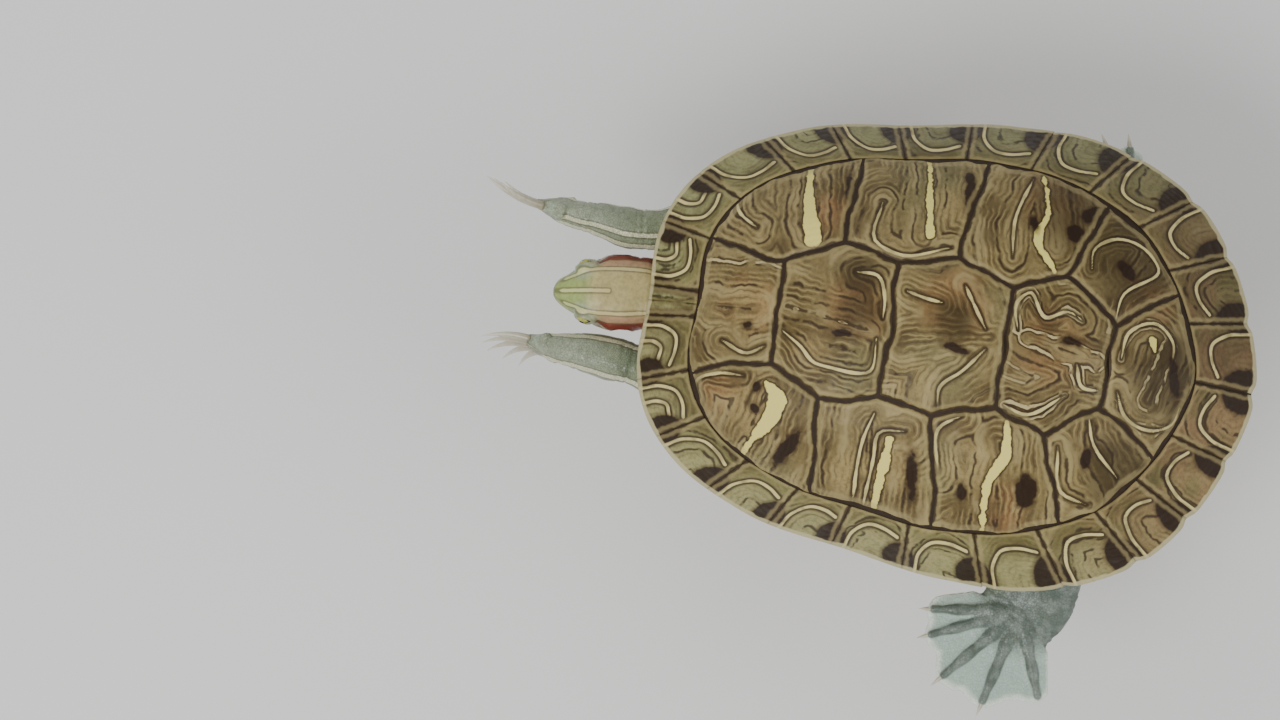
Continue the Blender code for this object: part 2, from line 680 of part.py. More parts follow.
def main():
    clear_scene()
    turtle = collection("red_eared_slider")
    cutters = collection("cutters")
    brown = material("scute_brown", SHELL_BROWN, 0.35)
    olive = material("rim_olive", RIM_OLIVE, 0.35)
    yellow = material("plastron_yellow", PLASTRON_YELLOW, 0.4)
    green = material("skin_green", SKIN_GREEN, 0.5)
    tan = material("head_tan", HEAD_TAN, 0.5)
    horn = material("claw_horn", CLAW_HORN, 0.35)
    dark = material("eye_dark", EYE_DARK, 0.08)
    wood = material("stand_wood", STAND_WOOD, 0.45)
    steel = material("stand_steel", STAND_STEEL, 0.3, 1.0)

    for number in range(5):
        name = "vertebral_" + str(number + 1)
        shell_tile(name, vertebral_corners(number), brown, turtle)
    for side, label in ((1, "left"), (-1, "right")):
        for number in range(4):
            name = "costal_" + label + "_" + str(number + 1)
            shell_tile(name, costal_corners(number, side), brown, turtle)
        spread = (NUCHAL_ANGLE + SEAM_ANGLE, 180 - SEAM_ANGLE)
        marginal_row("marginals_" + label, *spread, side, 25, olive, turtle)
    build_nuchal(olive, turtle)
    build_plastron(yellow, turtle)

    build_trunk("trunk", 0.0, green, turtle)
    trunk_space = build_trunk("trunk_space", GAP, green, cutters)
    hide_cutter(trunk_space)
    yaw = Vector((sin(radians(HEAD_YAW)), -cos(radians(HEAD_YAW)), 0))
    neck = limb("neck", NECK, green, turtle, count=16, end=yaw)
    cut(neck, trunk_space)
    tail = limb("tail", TAIL, green, turtle)
    cut(tail, trunk_space)
    build_head(tan, dark, turtle, cutters)

    for limb_name, stations, toes, ahead, normal, reach, thick, claws in LIMBS:
        parting = build_leg(limb_name, stations, ahead, green, turtle, trunk_space)
        foot_name = limb_name.replace("leg", "foot")
        webbed_foot(
            foot_name, stations[-1][0], ahead, normal, parting, toes, reach, thick, claws,
            (green, horn), (turtle, cutters),
        )

    build_stand(wood, steel, turtle)
    shift = shift_to_floor(turtle)
    for found in bpy.data.objects:
        found.location += shift


main()
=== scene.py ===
"""The look of a male red-eared slider in its courting swim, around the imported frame.

Lengths are in millimetres in the shell's own frame, which has its origin in the middle of the
plastron's underside; place() takes them into the frame. The turtle faces -Y, its left is +X.
"""

from collections import namedtuple
from math import atan2, cos, degrees, hypot, pi, radians, sin

import bmesh
import bpy
import numpy as np
from mathutils import Matrix, Vector, noise


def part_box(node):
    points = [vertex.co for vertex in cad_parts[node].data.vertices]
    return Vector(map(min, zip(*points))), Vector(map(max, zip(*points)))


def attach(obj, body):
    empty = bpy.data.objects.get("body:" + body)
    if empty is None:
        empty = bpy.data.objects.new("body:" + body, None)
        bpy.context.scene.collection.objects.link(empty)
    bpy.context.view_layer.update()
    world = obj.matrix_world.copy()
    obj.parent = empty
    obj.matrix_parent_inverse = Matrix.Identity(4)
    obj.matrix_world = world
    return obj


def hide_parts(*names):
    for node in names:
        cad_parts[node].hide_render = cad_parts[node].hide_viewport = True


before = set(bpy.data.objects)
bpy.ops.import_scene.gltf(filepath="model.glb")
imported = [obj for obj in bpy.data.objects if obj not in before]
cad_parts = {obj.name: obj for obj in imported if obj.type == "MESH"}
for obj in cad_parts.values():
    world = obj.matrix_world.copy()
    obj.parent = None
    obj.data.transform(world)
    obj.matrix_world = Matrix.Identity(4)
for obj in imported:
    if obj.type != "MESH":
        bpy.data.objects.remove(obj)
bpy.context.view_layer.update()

MM = 0.001
LENGTH = 180.0  # of the carapace
TOP = 67.0
DOME_CENTRE = 0.48
RIM_HEIGHT = 19.0
RIM_END_RISE = 4.0
FLARE_START = 0.82  # share of the way out at which the ends of the rim begin to rise
STAND_CLEARANCE = 66.0
BASE_LOW, BASE_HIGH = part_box("stand_base")
ORIGIN = Vector(((BASE_LOW[0] + BASE_HIGH[0]) / 2, (BASE_LOW[1] + BASE_HIGH[1]) / 2, STAND_CLEARANCE * MM))

# Edge of the shell, as (share of the length from the front, half-width share)
SHELL_EDGE = (
    (0.0, 0.0), (0.0, 0.12), (0.03, 0.195), (0.09, 0.259), (0.20, 0.316), (0.38, 0.352),
    (0.55, 0.376), (0.68, 0.374), (0.79, 0.340), (0.87, 0.289), (0.94, 0.195), (0.98, 0.10),
    (1.0, 0.0),
)
# Where the marginal scutes begin, as (degrees from the front, share of the way out)
MARGINAL_BORDER = ((0, 0.815), (45, 0.807), (90, 0.80), (125, 0.76), (150, 0.768), (180, 0.793))
NUCHAL_ANGLE = 3.0
MARGINAL_ANGLES = (3.0, 15.5, 27.0, 41.0, 55.5, 71.0, 90.0, 109.5, 126.5, 141.5, 154.0, 167.0, 180.0)
# Corners of the vertebral and costal scutes: (share of the length, half-width share)
VERTEBRAL_SEAMS = ((0.2215, 0.079), (0.403, 0.105), (0.583, 0.094), (0.7515, 0.066))
FIRST_WAIST = (0.161, 0.09)
COSTAL_APEXES = ((0.309, 0.127), (0.492, 0.126), (0.665, 0.126))
COSTAL_BORDER_ANGLES = (16, 59, 97, 133, 160)
FAR = 20.0  # stands for any distance past the reach of a mark
SIDES = ((1, "left"), (-1, "right"))


# ---- general helpers ----

def place(points):
    """Points of the shell's frame, in millimetres, in the frame's metres."""
    return np.asarray(points, float) * MM + np.array(ORIGIN)


def blend(points, x):
    """Smooth curve through (x, value) points, level at both ends, for a number or an array."""
    xs = np.array([p[0] for p in points], float)
    ys = np.array([p[1] for p in points], float)
    slopes = np.zeros(len(xs))
    slopes[1:-1] = (ys[2:] - ys[:-2]) / (xs[2:] - xs[:-2])
    x = np.asarray(x, float)
    i = np.clip(np.searchsorted(xs, x) - 1, 0, len(xs) - 2)
    span = xs[i + 1] - xs[i]
    u = np.clip((x - xs[i]) / span, 0, 1)
    start = ys[i] * (1 + 2 * u) * (1 - u) ** 2 + slopes[i] * span * u * (1 - u) ** 2
    end = ys[i + 1] * u * u * (3 - 2 * u) + slopes[i + 1] * span * u * u * (u - 1)
    return start + end


def smooth_step(low, high, x):
    """0 before low, 1 past high and an eased way between; low may be the greater one."""
    u = np.clip((np.asarray(x, float) - low) / (high - low), 0, 1)
    return u * u * (3 - 2 * u)


def bell(x):
    """1 at 0, falling off to both sides over about a length of 1."""
    return np.exp(-x ** 2)


def waves(points, length, seed):
    """Smooth noise of about -1 to 1 at points (n, 3) in millimetres, with features of a length."""
    shift = Vector((seed * 13.7, seed * 7.3, seed * 3.1))
    values = [noise.noise(Vector(p) / length + shift) for p in points]
    return np.array(values) * 1.6


def spline(knots, values, spots):
    """Smooth curve through values (n, k) at knots, at the given spots."""
    slopes = np.gradient(values, knots, axis=0)
    i = np.clip(np.searchsorted(knots, spots) - 1, 0, len(knots) - 2)
    span = (knots[i + 1] - knots[i])[:, None]
    u = (spots - knots[i])[:, None] / span
    start = values[i] * (1 + 2 * u) * (1 - u) ** 2 + slopes[i] * span * u * (1 - u) ** 2
    return start + values[i + 1] * u * u * (3 - 2 * u) + slopes[i + 1] * span * u * u * (u - 1)


def curve(points, steps=5):
    """A smooth line through plan points, as short straight lengths."""
    spots = np.array(points, float)
    knots = np.r_[0, np.cumsum(np.hypot(*np.diff(spots, axis=0).T))]
    return spline(knots, spots, np.linspace(0, knots[-1], steps * (len(spots) - 1) + 1))


def segment_distance(points, a, b):
    """Distance of plan points (n, 2) from the segment a to b, and the share along it."""
    a = np.asarray(a, float)
    b = np.asarray(b, float)
    along = b - a
    share = np.clip(((points - a) @ along) / max(along @ along, 1e-9), 0, 1)
    near = a + share[:, None] * along
    return np.hypot(*(points - near).T), share


def set_facts(mesh, facts):
    """Gives a mesh its markings, as one number for each point and name."""
    for key, values in facts.items():
        made = mesh.attributes.new(key, "FLOAT", "POINT")
        made.data.foreach_set("value", np.asarray(values, np.float32))


def linked(name, data):
    """A new object in the scene."""
    made = bpy.data.objects.new(name, data)
    bpy.context.scene.collection.objects.link(made)
    return made


def new_mesh(name, points, faces, finish, facts=None):
    """A smooth-shaded piece from points of the shell's frame."""
    mesh = bpy.data.meshes.new(name)
    mesh.from_pydata([tuple(p) for p in place(points)], [], [tuple(f) for f in faces])
    mesh.materials.append(finish)
    set_facts(mesh, facts or {})
    mesh.shade_smooth()
    mesh.update()
    return linked(name, mesh)


def face_outwards(mesh):
    shape = bmesh.new()
    shape.from_mesh(mesh)
    bmesh.ops.recalc_face_normals(shape, faces=shape.faces)
    shape.to_mesh(mesh)
    shape.free()


def put(piece, slot, *nodes):
    """Parents a finished piece to the one body and hides any CAD nodes that it replaces."""
    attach(piece, "root")
    if nodes:
        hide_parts(*nodes)
    return piece


# ---- materials ----

def linear(*colour):
    """A colour given in screen values of 0 to 255, as the shader takes it."""
    shares = [c / 255 for c in colour]
    return tuple(s / 12.92 if s <= 0.04045 else ((s + 0.055) / 1.055) ** 2.4 for s in shares) + (1.0,)


def node_sum(operation):
    return lambda a, b=0.0: a.shading.math(operation, a, b)


class Signal:
    """A value in a material's node tree, which plain sums can be written with."""

    def __init__(self, shading, socket):
        self.shading = shading
        self.socket = socket

    __add__ = node_sum("ADD")
    __sub__ = node_sum("SUBTRACT")
    __mul__ = node_sum("MULTIPLY")
    __truediv__ = node_sum("DIVIDE")
    __abs__ = node_sum("ABSOLUTE")


class Shading:
    """A material under construction, with short calls for the nodes it uses.

    A colour is a Signal, or a tuple of screen values of 0 to 255.
    """

    def __init__(self, name, roughness, specular=0.5, metallic=0.0, coat=0.0, coat_roughness=0.2):
        self.material = bpy.data.materials.new(name)
        self.material.use_nodes = True
        self.tree = self.material.node_tree
        self.shader = self.tree.nodes["Principled BSDF"]
        self.shader.inputs["Roughness"].default_value = roughness
        self.shader.inputs["Specular IOR Level"].default_value = specular
        self.shader.inputs["Metallic"].default_value = metallic
        self.shader.inputs["Coat Weight"].default_value = coat
        self.shader.inputs["Coat Roughness"].default_value = coat_roughness
        self.coordinates = self.node("ShaderNodeTexCoord", "Object")

    def node(self, kind, output, inputs=(), **settings):
        """A new node's output, with values or Signals for its inputs, as (name or number, value)."""
        made = self.tree.nodes.new(kind)
        for key, value in settings.items():
            setattr(made, key, value)
        for key, value in inputs:
            self.feed(made.inputs[key], value)
        return Signal(self, made.outputs[output])

    def feed(self, socket, value):
        if isinstance(value, Signal):
            self.tree.links.new(value.socket, socket)
        else:
            socket.default_value = value

    def fact(self, name):
        """What the mesh says of itself under a name."""
        return self.node("ShaderNodeAttribute", "Fac", attribute_name=name)

    def math(self, operation, a, b=0.0):
        return self.node("ShaderNodeMath", 0, ((0, a), (1, b)), operation=operation)

    def ramp(self, value, low, high, most=1.0, least=0.0):
        """value's way from low to high, eased, as least to most."""
        inputs = enumerate((value, low, high, least, most))
        return self.node("ShaderNodeMapRange", 0, inputs, interpolation_type="SMOOTHSTEP")

    def mix(self, share, a, b):
        """Colour a with a share of colour b over it."""
        a, b = (linear(*colour) if isinstance(colour, tuple) else colour for colour in (a, b))
        return self.node("ShaderNodeMix", 2, ((0, share), (6, a), (7, b)), data_type="RGBA")

    def over(self, colour, *layers):
        """The colour under layers of (share, colour), the lowest first."""
        for share, paint in layers:
            colour = self.mix(share, colour, paint)
        return colour

    def noise(self, scale, detail=2.0, rough=0.5, vector=None, distortion=0.0):
        inputs = (
            ("Vector", vector or self.coordinates), ("Scale", scale), ("Detail", detail),
            ("Roughness", rough), ("Distortion", distortion),
        )
        return self.node("ShaderNodeTexNoise", "Fac", inputs)

    def off_middle(self, count):
        """How far a running count of lines is from the middle of its own line, 0 to 0.5."""
        return abs(self.math("FRACT", count) - 0.5)

    def chance(self, count):
        """A random value of 0 to 1 for each whole number."""
        return self.node("ShaderNodeTexWhiteNoise", "Value", (("W", count),), noise_dimensions="1D")

    def stretched(self, *scale):
        """The coordinates with a grain drawn out along an axis."""
        inputs = (("Vector", self.coordinates), ("Scale", scale))
        return self.node("ShaderNodeMapping", "Vector", inputs)

    def bump(self, height, distance, strength=1.0):
        inputs = (("Strength", strength), ("Distance", distance), ("Height", height))
        return self.node("ShaderNodeBump", "Normal", inputs)

    def finish(self, colour, normal=None, roughness=None):
        for name, value in (("Base Color", colour), ("Normal", normal), ("Roughness", roughness)):
            if value is not None:
                self.feed(self.shader.inputs[name], value)
        return self.material


LINE_STEP = 3.5  # millimetres from one bold line of the shell's pattern to the next
LINE_SPLIT = 2.0  # fine striae to each bold line
BAND_SPLIT = 0.37  # broad bands to each bold line
SEED_LINES = 37.0  # bold lines that a seed of 1 moves a scute's pattern by


def ground_colour(s, grounds, warm, cool):
    """The horn under its lines: two browns, with soft patches of tone, the paler ones partly painted light,
    and a fine mottle.
    """
    colour = s.mix(s.ramp(s.noise(42), 0.40, 0.60), *grounds)
    return s.over(
        colour,
        (s.fact("cool") * 0.6, cool),
        (s.fact("warm") * s.ramp(s.noise(90), 0.25, 0.6, 0.8), warm),
        # paler patches: partly paler horn, partly painted light on the lit side
        (s.fact("light") * 0.5, (172, 150, 98)),
        (s.ramp(s.noise(800, 4.0, 0.65), 0.38, 0.72, 0.36), (66, 50, 28)),
    )


def lined_colour(s, colour, rank, fine, cream_share, strength):
    """The wavy lines by rank, their running count: bands, striae, dark lines and cream ones, with darker
    patches under the cream lines that are partly painted shade.
    """
    number = s.math("FLOOR", rank)
    off = s.off_middle(rank)
    broad = s.off_middle(rank * BAND_SPLIT)
    breaks = s.noise(190, 2.0, 0.6)
    chosen = s.ramp(s.chance(number), 1.0 - cream_share, 1.08 - cream_share) * s.ramp(breaks, 0.38, 0.48)
    lone = s.ramp(off, 0.17, 0.05) * s.ramp(s.chance(number + 0.37), 0.45, 0.6) * s.ramp(breaks, 0.60, 0.46)
    show = s.ramp(s.noise(140, 3.0, 0.6), 0.38, 0.62, strength, 0.10 * strength)
    patchy = s.ramp(s.noise(120), 0.40, 0.58)
    return s.over(
        colour,
        (s.ramp(broad, 0.30, 0.44, 0.55 * strength) * patchy, (66, 50, 26)),
        (s.ramp(broad, 0.22, 0.05, 0.45 * strength) * patchy, (174, 156, 108)),
        (s.ramp(fine, 0.28, 0.46, 0.5) * show, (58, 42, 20)),
        (s.ramp(fine, 0.20, 0.06, 0.5) * show, (164, 146, 96)),
        (lone * 0.85, (52, 38, 22)),
        (s.ramp(off, 0.36, 0.22) * chosen * 0.85, (54, 38, 18)),
        # darker patches: painted shade over the rear scutes and the right of the rim, and darker horn in the
        # middle vertebrals
        (s.fact("deep") * 0.66, (46, 34, 12)),
        (s.ramp(off, 0.125, 0.075) * chosen * 0.85, (198, 182, 130)),
    )


def marked_colour(s, colour, mid, quick, strength):
    """The marks drawn scute by scute, each frayed by noise, with a dark rim or flanks first."""
    pale = s.fact("pale") + mid * (0.5 * strength)
    worn = s.ramp(s.noise(170), 0.35, 0.55, 1.0, 0.55)
    ragged = mid * (2.2 * strength) + quick * (0.8 * strength)
    bar = s.fact("bar") + ragged
    blot = s.fact("blot") + ragged
    edge = s.fact("edge") + mid * 1.6
    rim = s.fact("rim") + mid * 1.6
    return s.over(
        colour,
        (s.ramp(pale, 1.2, 0.4, 0.85), (46, 32, 14)),
        (s.ramp(pale, 0.20, -0.05) * worn, (212, 196, 132)),
        (s.ramp(bar, 1.1, 0.5, 0.85), (56, 42, 22)),
        (s.ramp(bar, 0.35, 0.05), (226, 212, 118)),
        (s.ramp(blot, 1.3, 0.3, 0.5), (66, 46, 24)),
        (s.ramp(blot, 0.45, -0.15, 0.95), (38, 22, 8)),
        (s.ramp(edge, 2.1, 1.2, 0.40), (172, 156, 106)),
        (s.ramp(edge, 0.85, 0.25, 0.9), (50, 35, 19)),
        (s.ramp(rim, 0.75, 0.25, 0.8), (190, 180, 136)),
    )


def shell_material(name, grounds, warm, cool, cream_share, strength):
    """Horny scutes: wavy cream and dark lines, yellow bars, dark blotches and dark seams."""
    s = Shading(name, 0.5, 0.22)
    mid = s.noise(260) - 0.5
    quick = s.noise(620, 3.0) - 0.5
    line = s.fact("line") + (s.noise(95) - 0.5) * 5.5 + mid * 1.25 + quick * 0.35
    rank = line / LINE_STEP + s.fact("seed") * SEED_LINES
    fine = s.off_middle(rank * LINE_SPLIT)
    colour = ground_colour(s, grounds, warm, cool)
    colour = lined_colour(s, colour, rank, fine, cream_share, strength)
    colour = marked_colour(s, colour, mid, quick, strength)
    height = s.noise(1500, 4.0, 0.6) * 0.5 + s.ramp(fine, 0.1, 0.5) * 0.35
    return s.finish(colour, s.bump(height, 0.00025, 0.5), s.ramp(s.noise(300, 3.0), 0.3, 0.7, 0.60, 0.44))


def seam_material():
    s = Shading("seam_bed", 0.7, 0.3)
    grain = s.noise(600, 3.0)
    return s.finish(s.mix(grain, (30, 20, 11), (58, 42, 24)), s.bump(grain, 0.0003, 0.6))


# ---- the shell's surface ----

def edge_angles():
    """The shell's edge as (degrees from the front, distance) round the dome's middle."""
    turned = []
    for along, half in SHELL_EDGE:
        ahead = DOME_CENTRE - along
        turned.append((degrees(atan2(half, ahead)), hypot(half, ahead)))
    return turned


EDGE_BY_ANGLE = edge_angles()


def shell_point(along, across):
    """A plan point at a share of the length from the front and a share to the left."""
    return np.array((across * LENGTH, (along - 0.5) * LENGTH))


def polar(flat):
    """Degrees from the front and share of the way to the shell's edge, for plan points (n, 2)."""
    ahead = DOME_CENTRE - 0.5 - flat[:, 1] / LENGTH
    side = np.abs(flat[:, 0]) / LENGTH
    angle = np.degrees(np.arctan2(side, ahead))
    return angle, np.hypot(side, ahead) / blend(EDGE_BY_ANGLE, angle)


def from_polar(angle, share, side):
    """Plan points at angles from the front on one side, shares of the way to the edge."""
    radius = share * blend(EDGE_BY_ANGLE, angle)
    turn = np.radians(angle)
    along = DOME_CENTRE - radius * np.cos(turn)
    return np.stack((side * radius * np.sin(turn) * LENGTH, (along - 0.5) * LENGTH), -1)


def dome(flat):
    """Height of the carapace's outer surface at plan points (n, 2)."""
    angle, share = polar(flat)
    endness = np.cos(np.radians(angle)) ** 2
    fall = share ** (2.2 + 0.3 * endness)
    fullness = -0.3 + 0.2 * endness
    drop = np.minimum(fall * (1 + fullness * (1 - share * share)), 1.0)
    flare = np.maximum(share - FLARE_START, 0.0) / (1 - FLARE_START)
    return RIM_HEIGHT + (TOP - RIM_HEIGHT) * (1 - drop) + RIM_END_RISE * endness * flare * flare


def seam_warp(flat):
    """Seams wander a little; both scutes at a seam share the same shift. The edge stays put."""
    _, share = polar(flat)
    hold = smooth_step(1.0, 0.88, share)
    spots = np.c_[flat, np.zeros(len(flat))]
    shift = np.stack((waves(spots, 11, 1), waves(spots, 11, 2)), -1) * 0.9
    shift += np.stack((waves(spots, 3.5, 3), waves(spots, 3.5, 4)), -1) * 0.28
    return flat + shift * hold[:, None]


def border(first, last, side, count):
    """Plan points where the marginal scutes begin, between two angles."""
    angles = np.linspace(first, last, count)
    return list(from_polar(angles, blend(MARGINAL_BORDER, angles), side))


def divided(corners, step):
    """A closed outline through corners with points a step apart."""
    points = []
    for a, b in zip(corners, corners[1:] + corners[:1]):
        count = max(1, round(float(np.hypot(*(b - a))) / step))
        points += [a + (b - a) * k / count for k in range(count)]
    return np.array(points)


def outline_distance(points, outline):
    """Distance of each plan point from a closed outline."""
    nearest = np.full(len(points), 1e9)
    for a, b in zip(outline, np.roll(outline, -1, axis=0)):
        nearest = np.minimum(nearest, segment_distance(points, a, b)[0])
    return nearest


def rounded(outline, rounds):
    """The outline with its corners eased, by a few passes towards its neighbours."""
    for _ in range(rounds):
        outline = (np.roll(outline, 1, 0) + 2 * outline + np.roll(outline, -1, 0)) / 4
    return outline


def area(outline):
    """Twice an outline's area, above 0 if it runs anticlockwise."""
    x, y = outline.T
    return np.sum(x * np.roll(y, -1) - np.roll(x, -1) * y)


def shrunk(outline, distance):
    """The outline moved inwards by a distance."""
    after = np.roll(outline, -1, 0) - outline
    before = outline - np.roll(outline, 1, 0)
    along = after / np.hypot(*after.T)[:, None] + before / np.hypot(*before.T)[:, None]
    normal = np.stack((-along[:, 1], along[:, 0]), -1)
    normal /= np.hypot(*normal.T)[:, None]
    return outline + normal * distance * np.sign(area(outline))


def ring_faces(outer, inner, count):
    """Quads between two rings of points, by the index of each ring's first point."""
    return [(outer + i, outer + (i + 1) % count, inner + (i + 1) % count, inner + i) for i in range(count)]


def flipped(faces):
    return [face[::-1] for face in faces]


def tube_faces(rings, count):
    """Faces of a closed tube of rings, each of count points, with flat ends."""
    faces = [tuple(range(count - 1, -1, -1))]
    for k in range(rings - 1):
        faces += flipped(ring_faces((k + 1) * count, k * count, count))
    faces.append(tuple((rings - 1) * count + i for i in range(count)))
    return faces


TILE_STEP = 0.46
SEAM_HALF = 0.32  # half the width of the groove between two scutes
SCUTE_DEPTH = 1.5
RIM_SEAM_EASE = 0.75  # how much thinner the dark seam along the marginals is


def ring_stack(outline, shares):
    """An outline at shares of its size, and its middle, as plan points."""
    middle = outline.mean(0)
    return np.concatenate([middle + (outline - middle) * s for s in shares] + [[middle]])


def tile(name, outline, surface, finish, facts):
    """A closed scute over a plan outline: surface gives its height, facts its attributes."""
    edge = rounded(shrunk(outline, SEAM_HALF), 3)
    reach = np.hypot(*(edge - edge.mean(0)).T).mean()
    rings = max(8, round(reach / TILE_STEP))
    shares = np.linspace(1, 0, rings + 1)[:-1]
    shares = np.r_[1, 1 - 0.25 / rings, 1 - 0.6 / rings, shares[1:]]
    flat = ring_stack(edge, shares)
    under = ring_stack(edge, (0.995, 0.5))
    inside = outline_distance(flat, edge)
    top = np.c_[flat, surface(flat, inside)]
    bottom = np.c_[under, surface(under, np.full(len(under), 9.0)) - SCUTE_DEPTH]
    points = np.concatenate((top, bottom))
    count = len(edge)
    peak = len(shares) * count
    low = peak + 1
    faces = []
    for k in range(len(shares) - 1):
        faces += ring_faces(k * count, (k + 1) * count, count)
    faces += [(peak - count + i, peak - count + (i + 1) % count, peak) for i in range(count)]
    faces += ring_faces(low, 0, count) + ring_faces(low + count, low, count)
    faces += [(low + count + (i + 1) % count, low + count + i, low + 2 * count) for i in range(count)]
    marks = facts(points[:, :2])
    angle, share = polar(points[:, :2])
    to_rim = (blend(MARGINAL_BORDER, angle) - share) * blend(EDGE_BY_ANGLE, angle) * LENGTH
    marks["edge"] = np.r_[inside, np.zeros(len(under))] + RIM_SEAM_EASE * smooth_step(2.0, 1.0, to_rim)
    return new_mesh(name, points, faces if area(edge) > 0 else flipped(faces), finish, marks)


def mirror_corners(left, front, rear):
    """A scute's corners, from those on the turtle's left and any on the midline."""
    right = [p * np.array((-1, 1)) for p in reversed(left)]
    return front + left + rear + right


def vertebral_corners(number):
    if number == 0:
        front = border(0, COSTAL_BORDER_ANGLES[0], 1, 5)
        side = front[1:] + [shell_point(*FIRST_WAIST), shell_point(*VERTEBRAL_SEAMS[0])]
        return mirror_corners(side, front[:1], [])
    if number == 4:
        back = border(COSTAL_BORDER_ANGLES[4], 180, 1, 9)
        return mirror_corners([shell_point(*VERTEBRAL_SEAMS[3])] + back[:-1], [], back[-1:])
    corners = (VERTEBRAL_SEAMS[number - 1], COSTAL_APEXES[number - 1], VERTEBRAL_SEAMS[number])
    return mirror_corners([shell_point(*corner) for corner in corners], [], [])


def costal_corners(number, side):
    first, last = COSTAL_BORDER_ANGLES[number:number + 2]
    outer = border(first, last, side, 12)
    if number == 0:
        inner = [COSTAL_APEXES[0], VERTEBRAL_SEAMS[0], FIRST_WAIST]
    elif number == 3:
        inner = [VERTEBRAL_SEAMS[3], COSTAL_APEXES[2]]
    else:
        inner = [COSTAL_APEXES[number], VERTEBRAL_SEAMS[number], COSTAL_APEXES[number - 1]]
    return outer + [shell_point(along, side * across) for along, across in inner]


# ---- markings ----

# Axis of each scute's line pattern: the fine lines run along it and wrap round its ends.
# Points are (share of the length, share across, + to the turtle's left).
LINE_AXES = {
    "vertebral_1": ((0.11, 0.0), (0.185, 0.0)), "vertebral_2": ((0.235, -0.012), (0.375, 0.01)),
    "vertebral_3": ((0.425, 0.012), (0.56, -0.01)), "vertebral_4": ((0.62, -0.02), (0.73, 0.0)),
    "vertebral_5": ((0.82, 0.045), (0.845, -0.045)),
    "costal_left_1": ((0.225, 0.126), (0.17, 0.30)), "costal_left_2": ((0.395, 0.15), (0.415, 0.36)),
    "costal_left_3": ((0.60, 0.15), (0.625, 0.36)), "costal_left_4": ((0.755, 0.135), (0.80, 0.21)),
    "costal_right_1": ((0.25, -0.134), (0.215, -0.32)), "costal_right_2": ((0.43, -0.15), (0.41, -0.36)),
    "costal_right_3": ((0.64, -0.17), (0.59, -0.36)), "costal_right_4": ((0.765, -0.15), (0.80, -0.21)),
}
# Thin cream lines with dark flanks, as points along each, and their half-widths from end to end
PALE_WIDTHS = (0.0, 0.40, 0.30, 0.38, 0.28, 0.0)
PALE_SHIFT = 1.6  # sets the fine lines beside a cream line half a step off it
PALE_LINES = {
    "vertebral_1": (((0.14, 0.055), (0.185, 0.07), (0.212, 0.055)),),
    "vertebral_2": (
        ((0.335, -0.08), (0.373, -0.078), (0.388, -0.045), (0.39, -0.012)),
        ((0.233, 0.026), (0.27, 0.05), (0.292, 0.07), (0.32, 0.075), (0.384, 0.07), (0.385, 0.02)),
    ),
    "vertebral_3": (
        ((0.509, -0.085), (0.526, -0.058), (0.551, -0.021)),
        ((0.42, -0.062), (0.45, -0.055), (0.478, -0.052)),
        ((0.555, 0.01), (0.524, 0.05), (0.494, 0.08), (0.496, 0.112)),
    ),
    "vertebral_4": (
        ((0.6, -0.03), (0.592, -0.07), (0.61, -0.09), (0.64, -0.055), (0.675, -0.07), (0.70, -0.06)),
        ((0.70, 0.01), (0.714, 0.043), (0.742, 0.044)), ((0.597, 0.09), (0.63, 0.10), (0.69, 0.06)),
    ),
    "vertebral_5": (
        ((0.768, -0.012), (0.774, -0.055), (0.815, -0.078), (0.848, -0.053), (0.85, -0.014)),
        ((0.77, 0.04), (0.788, 0.075), (0.83, 0.09), (0.868, 0.072), (0.875, 0.045)),
    ),
    "costal_left_1": (((0.11, 0.16), (0.108, 0.122), (0.139, 0.108), (0.185, 0.106)),),
    "costal_left_2": (
        ((0.402, 0.29), (0.409, 0.206), (0.412, 0.163), (0.452, 0.155)),
        ((0.385, 0.28), (0.39, 0.17), (0.4, 0.135)),
    ),
    "costal_left_3": (((0.512, 0.209), (0.504, 0.14), (0.535, 0.118)),),
    "costal_left_4": (
        ((0.733, 0.09), (0.745, 0.125), (0.793, 0.172)),
        ((0.691, 0.14), (0.71, 0.21), (0.753, 0.222)),
    ),
    "costal_right_1": (((0.121, -0.205), (0.131, -0.158), (0.166, -0.132)),),
    "costal_right_2": (((0.36, -0.20), (0.358, -0.135), (0.397, -0.118), (0.48, -0.142)),),
    "costal_right_3": (((0.59, -0.28), (0.57, -0.20), (0.575, -0.14)),),
    "costal_right_4": (
        (
            (0.701, -0.145), (0.70, -0.175), (0.73, -0.2), (0.78, -0.195), (0.808, -0.166),
            (0.755, -0.11), (0.75, -0.07),
        ),
    ),
}
# Yellow bars: points along each, and its half-widths in millimetres from end to end
YELLOW_BARS = (
    (((0.234, -0.257), (0.243, -0.185), (0.26, -0.125)), (0.4, 0.7, 1.6, 2.4)),
    (((0.421, -0.287), (0.432, -0.222), (0.442, -0.157)), (0.5, 0.6, 0.9)),
    (((0.605, -0.286), (0.62, -0.225), (0.61, -0.178), (0.644, -0.13)), (0.3, 0.5, 0.9, 0.4)),
    (
        ((0.222, 0.112), (0.244, 0.135), (0.238, 0.165), (0.214, 0.20), (0.196, 0.235)),
        (0.4, 2.6, 1.9, 0.8, 0.5),
    ),
    (((0.43, 0.172), (0.426, 0.215), (0.42, 0.288)), (0.8, 1.2, 0.9, 0.5)),
    (((0.607, 0.118), (0.612, 0.165), (0.594, 0.21), (0.597, 0.295)), (0.5, 1.5, 0.7, 0.4)),
    (((0.813, -0.052), (0.82, -0.034)), (0.8, 0.4)),
)
